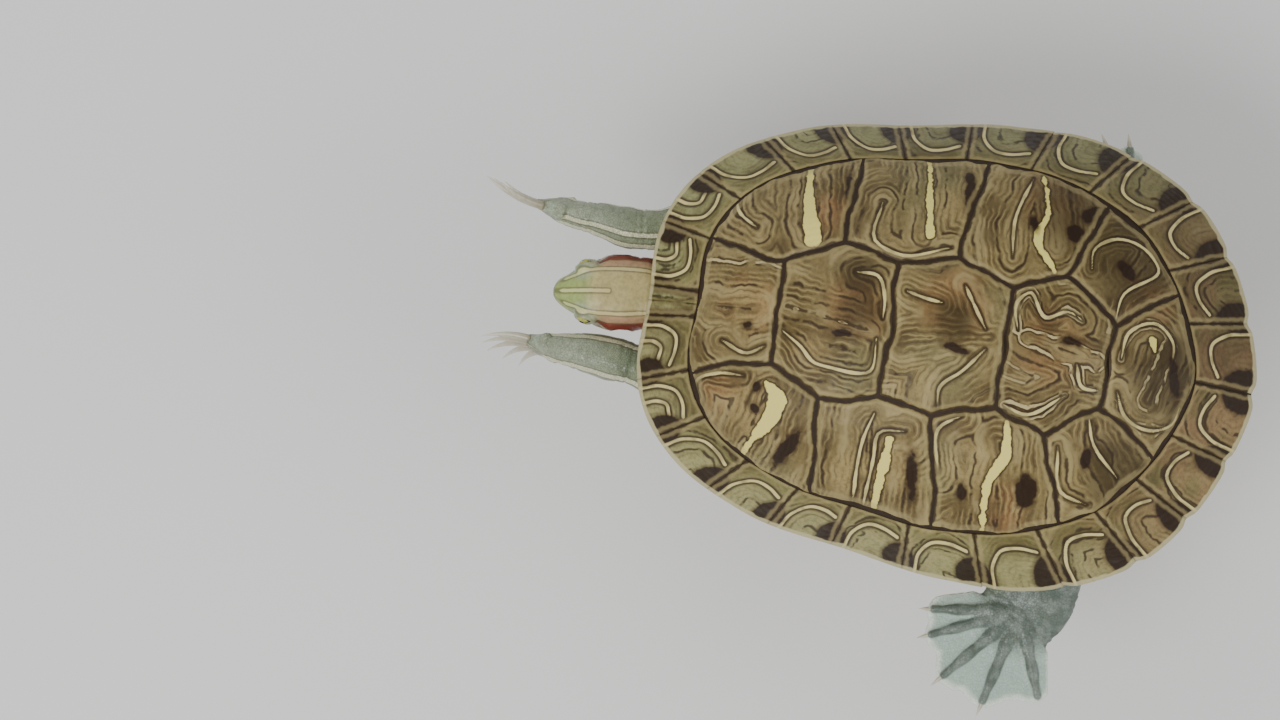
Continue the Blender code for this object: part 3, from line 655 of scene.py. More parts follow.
# Dark blotches: centre, half-length, half-width in millimetres, degrees from the shell's axis
DARK_BLOTCHES = (
    ((0.654, 0.218), 4.4, 2.9, 80), ((0.472, 0.22), 6.6, 1.5, 80), ((0.27, 0.208), 5.4, 1.9, 125),
    ((0.668, -0.198), 2.6, 2.2, 60), ((0.695, -0.235), 4.4, 2.0, 150), ((0.858, 0.003), 4.6, 1.3, 75),
    ((0.209, 0.119), 1.5, 1.2, 80), ((0.211, 0.153), 1.4, 1.1, 20), ((0.757, -0.153), 3.2, 1.7, 40),
    ((0.739, 0.153), 2.6, 1.3, 100), ((0.328, 0.019), 3.0, 0.8, 0), ((0.512, 0.017), 3.4, 0.9, 10),
    ((0.684, -0.024), 2.6, 1.2, 0), ((0.178, 0.026), 1.3, 0.8, 0), ((0.305, -0.215), 4.4, 1.0, 80),
    ((0.495, -0.235), 6.0, 1.5, 80), ((0.555, 0.235), 1.9, 1.2, 80), ((0.60, -0.205), 1.8, 1.0, 80),
)
# Soft patches of tone: centre, radius in millimetres; warm ones are tan to rusty, cool ones
# grey-green
WARM_PATCHES = (
    ((0.175, -0.01), 11), ((0.35, -0.03), 11), ((0.50, -0.05), 12), ((0.66, -0.01), 13), ((0.62, 0.25), 9),
    ((0.15, 0.14), 8), ((0.80, -0.10), 9), ((0.62, -0.25), 11), ((0.28, -0.17), 7),
)
COOL_PATCHES = (
    ((0.36, 0.075), 10), ((0.49, 0.05), 13), ((0.43, -0.25), 15), ((0.24, 0.25), 9), ((0.56, -0.06), 8),
    ((0.52, 0.20), 10),
)
# Darker patches: those at the rear are painted shade, those in the middle of the second and third vertebrals
# darker horn
SHADED_AND_DARK_PATCHES = (
    ((0.77, -0.18), 21), ((0.66, -0.24), 17), ((0.86, 0.0), 16), ((0.79, 0.16), 12), ((0.35, -0.02), 8),
    ((0.345, -0.07), 8), ((0.50, -0.03), 8),
)
# Paler patches, mostly on the turtle's left: partly paler horn, partly painted light on the lit side
LIT_AND_PALE_PATCHES = (
    ((0.185, -0.005), 8), ((0.45, 0.21), 9), ((0.20, 0.15), 11), ((0.56, 0.19), 9), ((0.29, 0.06), 8),
    ((0.45, 0.08), 9), ((0.46, -0.21), 7), ((0.38, 0.24), 9),
)


def tone(flat, patches):
    """0 to 1 inside soft round patches."""
    most = np.zeros(len(flat))
    for centre, radius in patches:
        gap = np.hypot(*(flat - shell_point(*centre)).T)
        most = np.maximum(most, smooth_step(1.15, 0.35, gap / radius))
    return most


def path_distance(flat, points, widths):
    """Signed distance from a bar along points, negative inside; widths are half-widths along it."""
    spots = curve([shell_point(*p) for p in points])
    best = np.full(len(flat), 30.0)
    halves = np.interp(np.linspace(0, 1, len(spots)), np.linspace(0, 1, len(widths)), widths)
    for a, b, half, next_half in zip(spots, spots[1:], halves, halves[1:]):
        gap, share = segment_distance(flat, a, b)
        best = np.minimum(best, gap - half - (next_half - half) * share)
    return best


def blotch_distance(flat, centre, long, wide, turn):
    """Rough signed distance from an oval blotch, negative inside."""
    offset = flat - shell_point(*centre)
    c = cos(radians(turn))
    s = sin(radians(turn))
    along = offset[:, 1] * c + offset[:, 0] * s
    aside = -offset[:, 1] * s + offset[:, 0] * c
    return (np.hypot(along / long, aside / wide) - 1) * min(long, wide)


def scute_facts(name, seed):
    """The attributes of a vertebral or costal scute's markings."""
    axis = [shell_point(*p) for p in LINE_AXES[name]]

    def facts(flat):
        pale = np.min([path_distance(flat, line, PALE_WIDTHS) for line in PALE_LINES[name]], 0)
        bars = np.min([path_distance(flat, *bar) for bar in YELLOW_BARS], 0)
        blots = np.min([blotch_distance(flat, *blot) for blot in DARK_BLOTCHES], 0)
        return {
            "line": np.minimum(segment_distance(flat, *axis)[0], pale + PALE_SHIFT), "pale": pale,
            "bar": np.clip(bars, -5, FAR), "blot": np.clip(blots, -5, FAR),
            "seed": np.full(len(flat), seed), "rim": np.full(len(flat), FAR),
            "warm": tone(flat, WARM_PATCHES), "cool": tone(flat, COOL_PATCHES),
            # the darker and paler patches: partly painted shade and painted light
            "deep": tone(flat, SHADED_AND_DARK_PATCHES), "light": tone(flat, LIT_AND_PALE_PATCHES),
        }
    return facts


def scute_surface(seed, ridge):
    """The dome with a scute's own relief: a soft crown, growth rings and an edge that dips."""
    def surface(flat, inside):
        height = dome(flat)
        crown = 0.55 * smooth_step(0, 9, inside)
        dip = -0.75 * bell(inside / 0.75)
        spots = np.c_[flat, np.full(len(flat), seed * 50.0)]
        rough = waves(spots, 7.0, 5) * 0.10 + waves(spots, 2.2, 6) * 0.045
        rings = np.sin(inside * (2 * pi / 1.9) + waves(spots, 12, 7) * 1.5)
        rings = rings * 0.05 * smooth_step(0.8, 2.0, inside) * smooth_step(14, 5, inside)
        keel = ridge * bell(flat[:, 0] / 5.5) * smooth_step(0, 6, inside)
        return height + crown + dip + rough + rings + keel - 0.45
    return surface


def build_scute(name, corners, seed, ridge, finish):
    outline = seam_warp(divided(corners, TILE_STEP))
    piece = tile(name + "_scute", outline, scute_surface(seed, ridge), finish, scute_facts(name, seed))
    put(piece, "scutes", name)


def build_scutes(finish):
    for number in range(5):
        name = "vertebral_" + str(number + 1)
        build_scute(name, vertebral_corners(number), 0.07 + number * 0.11, 0.35 + 0.12 * number, finish)
    for side, label in SIDES:
        for number in range(4):
            name = "costal_" + label + "_" + str(number + 1)
            seed = 0.61 + number * 0.083 + side * 0.021
            build_scute(name, costal_corners(number, side), seed, 0.0, finish)


BED_DEPTH = 1.15  # of the grooves between the scutes
BED_THICKNESS = 1.5


def build_seam_bed(finish):
    """The dark layer that shows in the grooves between the scutes."""
    angles = np.linspace(-180, 180, 145)[:-1]
    shares = np.linspace(0.02, 0.985, 40)
    side = np.where(angles < 0, -1, 1)
    flat = np.concatenate([from_polar(np.abs(angles), s, side) for s in shares])
    height = dome(flat) - BED_DEPTH
    points = np.concatenate((np.c_[flat, height], np.c_[flat, height - BED_THICKNESS]))
    count = len(angles)
    offset = len(flat)
    faces = []
    for k in range(len(shares) - 1):
        faces += ring_faces((k + 1) * count, k * count, count)
        faces += flipped(ring_faces(offset + (k + 1) * count, offset + k * count, count))
    last = (len(shares) - 1) * count
    faces += ring_faces(offset + last, last, count)
    faces += [tuple(range(count)), tuple(range(offset + count - 1, offset - 1, -1))]
    put(new_mesh("seam_bed", points, faces, finish), "scutes")


# ---- marginal scutes ----

REAR_NOTCH_ANGLE = 0.15  # gap between the two rearmost scutes
MARGINAL_COUNT = 12
MARGINAL_ROWS = 28
TOOTH_DEPTH = 0.012  # how far the notches between the rear scutes reach in, as a share of the way
TOOTH_WIDTH = 0.10  # of a notch, as a share of the scute's width
ROUND_START = 0.010  # where the rim begins to round over, as a share of the way from its edge
# The rim's rounding and the underside behind it, as (share of the way, drop or lift in millimetres)
RIM_ROUND = ((0.0035, 0.25), (0.0075, 0.75), (0.0085, 1.35), (0.004, 1.95), (-0.008, 2.3))
RIM_BACK = ((0.03, 0.0), (0.06, 0.5), (0.10, 1.4), (0.15, 3.2))
RIM_THICKNESS = 2.4
# Cream lines of a marginal: (share along the edge from its front seam, share of the way out)
MARGINAL_ARC = ((0.16, 1.0), (0.20, 0.55), (0.36, 0.30), (0.64, 0.27), (0.86, 0.36))
MARGINAL_SECOND = ((0.42, 0.95), (0.44, 0.70), (0.54, 0.55), (0.74, 0.58))
RIM_LINE_HALF = 0.38
BLOTCH_OUT = 0.80  # how far out the dark blotch at each marginal's rear seam lies
NUCHAL_BAR = 1.5  # width of the dark bar along each side of the nuchal scute
NUCHAL = MARGINAL_COUNT  # the number its halves go by among the marginals


def build_marginal(number, side, label, finish):
    """One marginal scute as a closed solid, with the rim rounded under."""
    first, last = MARGINAL_ANGLES[number:number + 2]
    if number == MARGINAL_COUNT - 1:
        last -= REAR_NOTCH_ANGLE
    chord = from_polar(last, 1, side) - from_polar(first, 1, side)
    angles = np.linspace(first, last, round(float(np.hypot(*chord)) / TILE_STEP) + 1)
    return marginal_solid("marginal_" + label + "_" + str(number + 1), angles, side, number, finish)


def marginal_height(flat, inside, number, side):
    """The dome with a marginal's own relief: a dip at its seams, growth rings and roughness."""
    spots = np.c_[flat, np.full(len(flat), number * 9.0 + side)]
    height = dome(flat) + 0.3 * smooth_step(0, 5, inside) - 0.3
    height += -0.6 * bell(inside / 0.6)
    height += waves(spots, 6, 8) * 0.10 + waves(spots, 2.0, 9) * 0.04
    height += 0.05 * np.sin(inside * 2 * pi / 1.8) * smooth_step(0.8, 2, inside)
    return height


def bent_sheet_faces(levels, count):
    """Faces of a solid of rows of points, where the last row meets the first one."""
    faces = []
    for k in range(levels):
        j = (k + 1) % levels
        for i in range(count - 1):
            faces.append((k * count + i, k * count + i + 1, j * count + i + 1, j * count + i))
    faces.append(tuple(k * count for k in range(levels)))
    faces.append(tuple(k * count + count - 1 for k in range(levels - 1, -1, -1)))
    return faces


def marginal_solid(name, angles, side, number, finish):
    """A scute of the rim between angles: its top, the rounded edge and a strip of the underside."""
    count = len(angles)
    place_along = np.linspace(0, 1, count)
    depth = TOOTH_DEPTH * smooth_step(95, 140, angles.mean())
    notch = depth * (bell(place_along / TOOTH_WIDTH) + bell((1 - place_along) / TOOTH_WIDTH))
    radius = blend(EDGE_BY_ANGLE, angles) * LENGTH
    start = blend(MARGINAL_BORDER, angles) + SEAM_HALF / radius
    edge_share = 1.0 - notch
    across = np.linspace(0, 1, MARGINAL_ROWS)
    rows = [from_polar(angles, start + (edge_share - ROUND_START - start) * q, side) for q in across]
    top_flat = np.concatenate(rows)
    seams = side_distance(top_flat, angles[-1:] if number >= NUCHAL else angles[[0, -1]], side)

    def gap(shares):
        return (shares * (edge_share - start)[:, None] * radius[:, None]).T.ravel()

    inside = np.minimum(gap(across), seams)
    top = np.c_[top_flat, marginal_height(top_flat, inside, number, side)]
    rim = top[-count:, 2]
    parts = [top]
    for share, drop in RIM_ROUND:
        ring = from_polar(angles, edge_share - ROUND_START + share, side)
        parts.append(np.c_[ring, rim - drop])
    for share, lift in RIM_BACK:
        parts.append(np.c_[from_polar(angles, edge_share - share, side), rim - RIM_THICKNESS + lift])
    points = np.concatenate(parts)
    faces = bent_sheet_faces(len(points) // count, count)
    below = len(points) - len(top)
    facts = marginal_facts(points[:, :2], angles, side, number)
    facts["edge"] = np.r_[np.minimum(gap(across) + RIM_SEAM_EASE, seams), np.full(below, 3.0)]
    facts["rim"] = np.r_[gap(1 - across), np.zeros(below)]
    return new_mesh(name, points, faces if side > 0 else flipped(faces), finish, facts)


def side_distance(flat, seam_angles, side):
    """Distance of a marginal's plan points from the seams beside it."""
    gaps = []
    for angle in seam_angles:
        ends = (from_polar(angle, 0.7, side), from_polar(angle, 1.05, side))
        gaps.append(segment_distance(flat, *ends)[0])
    return np.min(gaps, 0)


def marginal_facts(flat, angles, side, number):
    """A cream line bent round each marginal's pale middle, and a dark blotch at its rear seam."""
    angle, share = polar(flat)
    inner = blend(MARGINAL_BORDER, angle)
    spread = from_polar(angles[[0, -1]], 0.93, side)
    wide = float(np.hypot(*(spread[1] - spread[0])))
    middle = angles.mean()
    deep = float(blend(EDGE_BY_ANGLE, middle) * LENGTH * (1 - blend(MARGINAL_BORDER, middle)))
    along = (angle - angles[0]) / (angles[-1] - angles[0]) * wide
    out = (share - inner) / (1 - inner) * deep
    local = np.stack((along, out), -1)

    def off(line):
        spots = curve([np.array(p) * (wide, deep) for p in line], 8)
        return np.min([segment_distance(local, a, b)[0] for a, b in zip(spots, spots[1:])], 0)

    def oval(centre, half_wide, half_deep):
        return np.hypot((along - centre) / half_wide / wide, (out - BLOTCH_OUT * deep) / half_deep / deep)

    arc = off(MARGINAL_ARC)
    if number < 2:
        arc = np.minimum(arc, off(MARGINAL_SECOND))
    blot = (np.minimum(oval(wide, 0.30, 0.36), oval(0, 0.14, 0.28)) - 1) * 0.25 * wide
    if number == 0:
        blot = np.minimum(blot, along - NUCHAL_BAR / 2)
    if number >= NUCHAL:
        blot = wide - along - NUCHAL_BAR
        arc = 4 + along
    back = smooth_step(120, 165, angle)
    panel = smooth_step(0.5, 0.15, np.abs(along / wide - 0.55)) * smooth_step(0.2, 0.6, out / deep)
    return {
        "line": arc, "pale": arc - RIM_LINE_HALF, "bar": np.full(len(flat), FAR),
        "blot": np.clip(blot, -5, FAR), "seed": np.full(len(flat), 0.137 * number + 0.5 * (side > 0)),
        "warm": back, "cool": panel * (1 - back),
        # painted shade: the marginals darker on the turtle's right and a little darker at the rear
        "deep": 0.45 * smooth_step(40, 80, angle) * (side < 0) + 0.2 * back,
        # painted light: the pale panels made lighter on the turtle's left only
        "light": panel * 0.45 * (side > 0),
    }


def join(name, pieces):
    """One object of several, keeping their attributes."""
    bpy.ops.object.select_all(action="DESELECT")
    for piece in pieces:
        piece.select_set(True)
    bpy.context.view_layer.objects.active = pieces[0]
    bpy.ops.object.join()
    pieces[0].name = name
    pieces[0].data.name = name
    return pieces[0]


def build_marginals(finish):
    for side, label in SIDES:
        pieces = [build_marginal(number, side, label, finish) for number in range(MARGINAL_COUNT)]
        put(join("marginal_scutes_" + label, pieces), "rim_scutes", "marginals_" + label)
    halves = []
    for number, (side, label) in enumerate(SIDES, NUCHAL):
        angles = np.linspace(0, NUCHAL_ANGLE, 7)
        halves.append(marginal_solid("nuchal_half_" + label, angles, side, number, finish))
    put(join("nuchal_scute", halves), "rim_scutes", "nuchal")


# ---- flesh: sizes ----

HEAD_JOINT = (-2.4, -90.0, 11.6)
HEAD_YAW = 7.5
# From the neck to the snout: (forward, half-width, top, bottom)
HEAD_SECTIONS = (
    (0.0, 10.6, 8.2, -7.6), (5.0, 11.2, 9.0, -7.8), (10.5, 11.3, 9.6, -7.6), (15.5, 10.6, 9.8, -7.0),
    (19.0, 8.9, 9.2, -6.3), (22.5, 6.9, 7.9, -5.3), (25.5, 5.0, 6.2, -4.0), (27.6, 3.6, 4.9, -2.7),
    (28.8, 2.2, 3.9, -1.5), (29.4, 0.9, 2.7, -0.2),
)
WIDE, HIGH, LOW = 1, 2, 3  # columns of HEAD_SECTIONS
MOUTH = ((29.6, 0.2), (14.5, -2.4))  # front and rear ends of the mouth line: forward, height
MOUTH_SAG = 0.44
NOSTRIL = (1.05, 28.9, 2.7)
EYE_RADIUS = 3.1
EYE_PLACE = (6.6, 19.3, 4.5)
EYE_AXIS = (0.88, 0.33, 0.28)
# Stations of the neck, the tail and the legs: place, half-width, half-height
NECK = (
    ((-1.0, -58, 11.6), 13.0, 8.0), ((-1.2, -68, 11.6), 13.2, 8.2), ((-1.5, -75, 11.6), 12.0, 7.9),
    ((-2.2, -83, 11.8), 10.7, 7.6), ((-2.4, -91, 11.9), 10.5, 7.8), ((-2.2, -96, 12.1), 10.6, 8.1),
)
TAIL = (
    ((0, 52, 11.2), 8.4, 6.0), ((-3, 68, 10.8), 6.4, 5.0), ((-9, 75, 10.2), 5.3, 4.3),
    ((-17.5, 77.5, 9.6), 4.2, 3.5), ((-25, 76, 9.2), 3.0, 2.6), ((-30.5, 72.8, 9), 1.9, 1.7),
    ((-34, 69.5, 9), 0.8, 0.7),
)
FORELEG_RIGHT = (
    ((-31, -52, 10.8), 8.5, 5.6), ((-28.5, -68, 10.9), 8.2, 5.6), ((-25, -82, 11.2), 6.9, 5.9),
    ((-21.8, -91, 12.0), 6.0, 6.8), ((-21, -100, 12.8), 6.3, 7.0), ((-21.8, -108, 13.8), 5.2, 6.4),
    ((-22, -113.5, 14.6), 4.5, 6.3), ((-22.5, -118, 15.0), 3.9, 5.4), ((-22.9, -122.5, 15.2), 2.4, 3.6),
)
FORELEG_LEFT = (
    ((31, -52, 10.8), 8.5, 5.6), ((27, -68, 10.9), 8.2, 5.6), ((22.5, -82, 11.2), 6.9, 5.9),
    ((19.4, -91, 11.8), 6.2, 6.8), ((18.6, -99, 12.4), 6.6, 7.0), ((18, -106, 12.8), 5.9, 6.6),
    ((18, -111, 12.6), 5.1, 6.4), ((17.9, -115, 10.9), 4.2, 5.5), ((17.9, -119, 9.2), 2.6, 3.7),
)
HINDLEG_LEFT = (
    ((28, 44, 11), 9.0, 6.0), ((40, 41, 11.2), 9.4, 5.9), ((53, 38.5, 11), 10.3, 5.5),
    ((62.5, 37.3, 10.4), 12.2, 5.0), ((69.5, 34.8, 9.6), 13.1, 4.2), ((75.2, 31.8, 9.4), 12.4, 2.7),
    ((80.5, 28.7, 9.3), 12.2, 1.2),
)
HINDLEG_RIGHT = (
    ((-18, 44, 11.2), 9.0, 6.0), ((-27, 42.5, 11.2), 8.6, 5.8), ((-34, 44, 10.9), 8.0, 5.3),
    ((-40.5, 51, 10.2), 6.6, 4.6), ((-45, 50, 10.0), 6.6, 3.0), ((-50, 46, 9.9), 6.0, 1.7),
)
LEGS = ("foreleg_right", "foreleg_left", "hindleg_left", "hindleg_right")
HEEL_ANGLE = 73  # each foot's fan reaches this far to either side of its direction
FORE_TOES = (-26, -13, 0, 13, 26)
HIND_TOES_SPREAD = (-51, -17, 10, 35, 51)
HIND_TOES_FOLDED = (-24, -9, 6, 21)
CLAWED_TOES = {"fore": 5, "hind": 4}  # the hind foot's outermost toe, listed first, has none
WEB_DEPTH = {"fore": 0.16, "hind": 0.09}  # depth of the scallops between the toes
# strength of the painted highlight on the webs between the toes, for each kind of foot
WEB_HIGHLIGHT = {"fore": 0.3, "hind": 1.0}
WEB_HALF = 0.62  # half the web's thickness
PALM_SWELL = {"fore": (3.6, 0.62), "hind": (2.2, 0.35)}  # height at the ankle, share of the reach
ANKLE_AHEAD = 4.0
TOE_SHORTENING = 0.0032  # share of a toe's length lost for each degree to the side
WEB_PAST_TOES = (7, 9)  # degrees that the web goes on past the first toe and the last
# Each foot: its ankle, half the ankle's width, angles of its toes, direction, normal, reach and
# toe radii at root and tip; then its claws' length, bend in the foot's own frame and curl
Foot = namedtuple("Foot", "name ankle half_width toes ahead normal reach radii claw bend curl")
FEET = (
    Foot(
        "forefoot_right", (-22, -113.5, 14.6), 6.6, FORE_TOES, (-0.10, -1, 0.08), (-1, 0, 0.1),
        11.5, (2.3, 1.45), 17.5, (0, 0, 1), 30,
    ),
    Foot(
        "forefoot_left", (18, -111, 12.6), 6.6, FORE_TOES, (-0.02, -1, -0.45), (1, 0, 0.35),
        11.5, (2.3, 1.45), 17.0, (-0.7, 0, 0.6), 34,
    ),
    Foot(
        "hindfoot_left", (69.5, 34.8, 9.6), 14.0, HIND_TOES_SPREAD, (0.86, -0.51, -0.03), (0, 0, 1),
        33.0, (2.6, 1.3), 6.4, (0, 0, -1), 22,
    ),
    Foot(
        "hindfoot_right", (-40.5, 51, 10.2), 9.5, HIND_TOES_FOLDED, (-0.83, -0.56, 0.0), (0, 0, 1),
        27.5, (2.4, 1.3), 6.4, (0, 0, -1), 22,
    ),
)
CLAW_RADIUS = 1.25
CLAW_SHORTENING = 0.004  # share of a claw's length lost for each degree to the side
CLAW_ROOT = 0.9  # share of the toe's length at which its claw begins
BODY_WALL = ((0, 0.80), (60, 0.78), (100, 0.70), (135, 0.52), (160, 0.60), (180, 0.74))
BODY_UNDER_SHELL = 5.6
BODY_OVER_PLASTRON = 6.0
BRIDGE_START = 0.235  # half-width share at which the plastron turns up into its bridges
BRIDGE_WIDTH = 0.10
BRIDGE_RISE = 13.1
VOXEL = 0.46
FORELEGS_FINE = -86.0  # the skin ahead of this keeps its fine mesh
SKIN_TRIANGLES = 195000


# ---- flesh: shapes ----

def unit(rows):
    return rows / np.linalg.norm(rows, axis=-1, keepdims=True)


class Limb:
    """A length of flesh round a smooth line of (place, half-width, half-height) stations."""

    def __init__(self, stations, step=1.0):
        places = np.array([s[0] for s in stations], float)
        values = np.c_[places, np.array([s[1:] for s in stations], float)]
        knots = np.r_[0, np.cumsum(np.linalg.norm(np.diff(places, axis=0), axis=1))]
        self.along = np.linspace(0, knots[-1], max(6, round(knots[-1] / step)) + 1)
        found = spline(knots, values, self.along)
        self.places = found[:, :3]
        self.wide = found[:, 3]
        self.high = found[:, 4]
        self.ahead = unit(np.gradient(self.places, axis=0))
        self.side = unit(np.cross(self.ahead, (0, 0, 1)))
        self.top = np.cross(self.side, self.ahead)

    def solid(self, count=40):
        turn = np.linspace(0, 2 * pi, count, endpoint=False)
        rings = self.places[:, None] + self.side[:, None] * (self.wide[:, None] * np.cos(turn))[..., None]
        rings = rings + self.top[:, None] * (self.high[:, None] * np.sin(turn))[..., None]
        return rings.reshape(-1, 3), tube_faces(len(rings), count)

    def locate(self, points):
        """Length along, angle in degrees from the right side over the top, and relative distance."""
        nearest = np.empty(len(points), int)
        for first in range(0, len(points), 20000):
            part = points[first:first + 20000]
            gaps = ((part[:, None] - self.places[None]) ** 2).sum(-1)
            nearest[first:first + 20000] = gaps.argmin(1)
        offset = points - self.places[nearest]
        across = (offset * self.side[nearest]).sum(1)
        above = (offset * self.top[nearest]).sum(1)
        beyond = (offset * self.ahead[nearest]).sum(1)
        ratio = np.hypot(across / self.wide[nearest], above / self.high[nearest])
        ratio = ratio + np.abs(beyond) / 6
        return self.along[nearest], np.degrees(np.arctan2(above, across)), ratio, np.hypot(across, above)


HEAD_MATRIX = Matrix.Translation(HEAD_JOINT) @ Matrix.Rotation(radians(180 + HEAD_YAW), 4, "Z")
HEAD_TURN = np.array(HEAD_MATRIX.to_3x3())


def moved(matrix, points):
    """Points taken through a matrix."""
    turn = np.array(matrix.to_3x3())
    return np.asarray(points, float) @ turn.T + np.array(matrix.translation)


def head_size(forward, column):
    """The head's half-width, top or bottom at lengths forward."""
    sections = np.array(HEAD_SECTIONS)
    return np.interp(forward, sections[:, 0], sections[:, column])


def head_solid(count=48):
    """The head as a tube of slightly squared rings."""
    sections = np.array(HEAD_SECTIONS)
    forward = np.r_[np.arange(0, 26, 0.8), np.linspace(26, sections[-1, 0], 12)]
    found = spline(sections[:, 0], sections[:, 1:], forward)
    turn = np.linspace(0, 2 * pi, count, endpoint=False)
    c = np.abs(np.cos(turn)) ** 0.9 * np.sign(np.cos(turn))
    s = np.abs(np.sin(turn)) ** 0.9 * np.sign(np.sin(turn))
    middle = (found[:, 1] + found[:, 2]) / 2
    half = (found[:, 1] - found[:, 2]) / 2
    x = found[:, 0][:, None] * c
    z = middle[:, None] + half[:, None] * s
    y = np.broadcast_to(forward[:, None], x.shape)
    points = np.stack((x, y, z), -1).reshape(-1, 3)
    return moved(HEAD_MATRIX, points), flipped(tube_faces(len(forward), count))


def plastron_height(x):
    """Height of the plastron's underside, which turns up into the bridges."""
    u = np.clip((np.abs(x) / LENGTH - BRIDGE_START) / BRIDGE_WIDTH, 0, 1)
    return BRIDGE_RISE * u * u * (3 - 2 * u)


def trunk_solid():
    """The body inside the shell, a little clear of it all round."""
    angles = np.linspace(0, 180, 61)
    angles = np.r_[angles, angles[-2:0:-1]]
    side = np.r_[np.ones(61), -np.ones(59)]

    def ring(share, height):
        flat = from_polar(angles, share * blend(BODY_WALL, angles), side)
        return np.c_[flat, height(flat)]

    def top(flat):
        return dome(flat) - BODY_UNDER_SHELL

    def bottom(flat):
        return plastron_height(flat[:, 0]) + BODY_OVER_PLASTRON

    def at(level):
        return lambda flat: bottom(flat) * (1 - level) + np.maximum(top(flat), bottom(flat) + 3) * level

    rings = [ring(s, bottom) for s in (0.1, 0.3, 0.5, 0.7, 0.85, 0.94)]
    rings += [ring(0.985, at(0.15)), ring(1.0, at(0.35)), ring(0.99, at(0.6)), ring(0.95, at(0.85))]
    rings += [ring(s, top) for s in (0.88, 0.75, 0.6, 0.45, 0.3, 0.15)]
    return np.concatenate(rings), flipped(tube_faces(len(rings), len(angles)))


def frame_at(place, ahead, up):
    y = Vector(ahead).normalized()
    x = y.cross(Vector(up)).normalized()
    z = x.cross(y)
    return Matrix.Translation(Vector(place)) @ Matrix((x, y, z)).transposed().to_4x4()


def foot_matrix(foot):
    """The foot's own frame: its toes fan out round +Y, and its normal is near +Z."""
    forward = Vector(foot.ahead).normalized()
    return frame_at(Vector(foot.ankle) + forward * ANKLE_AHEAD, forward, foot.normal)


def kind(foot):
    """fore or hind."""
    return foot.name[:4]


def direction(angle):
    """A unit vector of the foot's plane, at degrees to the side of straight ahead."""
    return np.array((sin(radians(angle)), cos(radians(angle))))


def fan_edge(foot, angles):
    """The radius of a foot's outline at angles: scallops between the toes, straight to the heel."""
    toes = foot.toes
    half_step = (toes[-1] - toes[0]) / (len(toes) - 1) / 2

    def scallops(turns):
        near = np.min(np.abs(turns[:, None] - np.array(toes)), 1) / half_step
        depth = WEB_DEPTH[kind(foot)] * np.minimum(near, 1) ** 1.5
        return foot.reach * (1 - TOE_SHORTENING * np.abs(turns)) * (1 - depth)

    limit = scallops(angles)
    for side, turn in ((-1, toes[0] - WEB_PAST_TOES[0]), (1, toes[-1] + WEB_PAST_TOES[1])):
        corner = np.array((side, 0.3)) * foot.half_width
        tip = scallops(np.array([float(turn)]))[0] * direction(turn)
        run = corner - tip
        crossing = np.sin(np.radians(angles)) * run[1] - np.cos(np.radians(angles)) * run[0]
        straight = (tip[0] * run[1] - tip[1] * run[0]) / np.where(np.abs(crossing) < 0.1, 0.1, crossing)
        limit = np.where(angles * side > turn * side, np.clip(straight, 1, limit), limit)
    return limit


def toe_length(foot, angle):
    return foot.reach * (1 - TOE_SHORTENING * abs(angle))


def toe_relief(foot, flat):
    """How far the toes stand out of the web's plane at points of it."""
    root, tip = foot.radii
    most = np.zeros(len(flat))
    for turn in foot.toes:
        ahead = direction(turn)
        along = flat @ ahead
        across = flat[:, 0] * ahead[1] - flat[:, 1] * ahead[0]
        size = toe_length(foot, turn)
        share = np.clip(along / size, 0, 1)
        radius = root + (tip - root) * share
        radius = radius * (1 + 0.09 * np.cos(share * 2 * pi * 3)) * smooth_step(1.02, 0.93, along / size)
        inside = np.where(along > 0, radius ** 2 - across ** 2, 0)
        most = np.maximum(most, np.sqrt(np.maximum(inside, 0)))
    return most


def foot_solid(foot):
    """A webbed foot as a closed sheet with the toes as ridges in it."""
    angles = np.linspace(-HEEL_ANGLE, HEEL_ANGLE, 130)
    limit = fan_edge(foot, angles)
    shares = np.linspace(0.02, 1, 44)
    turn = np.radians(angles)
    flat = np.stack((np.sin(turn) * limit * shares[:, None], np.cos(turn) * limit * shares[:, None]), -1)
    flat = flat.reshape(-1, 2)
    ridge = toe_relief(foot, flat)
    distance = np.hypot(*flat.T)
    swell, swell_reach = PALM_SWELL[kind(foot)]
    web = WEB_HALF + swell * bell(distance / (foot.reach * swell_reach))
    height = np.sqrt(web ** 2 + ridge ** 2)
    sag = -0.35 * smooth_step(1.5, 0, ridge) * smooth_step(0.2, 0.9, distance / foot.reach)
    points = np.concatenate((np.c_[flat, sag + height], np.c_[flat, sag - height * 0.85]))
    return moved(foot_matrix(foot), points), sheet_faces(len(shares), len(angles))


def sheet_faces(rows, columns):
    """Faces of a closed sheet, from a grid of its upper points and then one of its lower points."""
    low = rows * columns
    faces = []
    for k in range(rows - 1):
        for i in range(columns - 1):
            a, b = k * columns + i, (k + 1) * columns + i
            faces.append((a, a + 1, b + 1, b))
            faces.append((low + a, low + b, low + b + 1, low + a + 1))
        for i in (0, columns - 1):
            a, b = k * columns + i, (k + 1) * columns + i
            side = (a, b, low + b, low + a)
            faces.append(side if i == 0 else side[::-1])
    for i in range(columns - 1):
        for k in (0, rows - 1):
            a = k * columns + i
            end = (a, low + a, low + a + 1, a + 1)
            faces.append(end if k == 0 else end[::-1])
    return faces


def flesh_object(parts):
    """One mesh of all the lengths of flesh, in metres."""
    points = []
    faces = []
    for spots, loops in parts:
        shift = sum(len(p) for p in points)
        points.append(spots)
        faces += [tuple(i + shift for i in f) for f in loops]
    mesh = bpy.data.meshes.new("flesh")
    mesh.from_pydata([tuple(p) for p in place(np.concatenate(points))], [], faces)
    face_outwards(mesh)
    return linked("flesh", mesh)


def applied(piece):
    """The piece's mesh with its modifiers worked in; the modifiers go."""
    graph = bpy.context.evaluated_depsgraph_get()
    mesh = bpy.data.meshes.new_from_object(piece.evaluated_get(graph))
    piece.modifiers.clear()
    piece.data = mesh
    return mesh


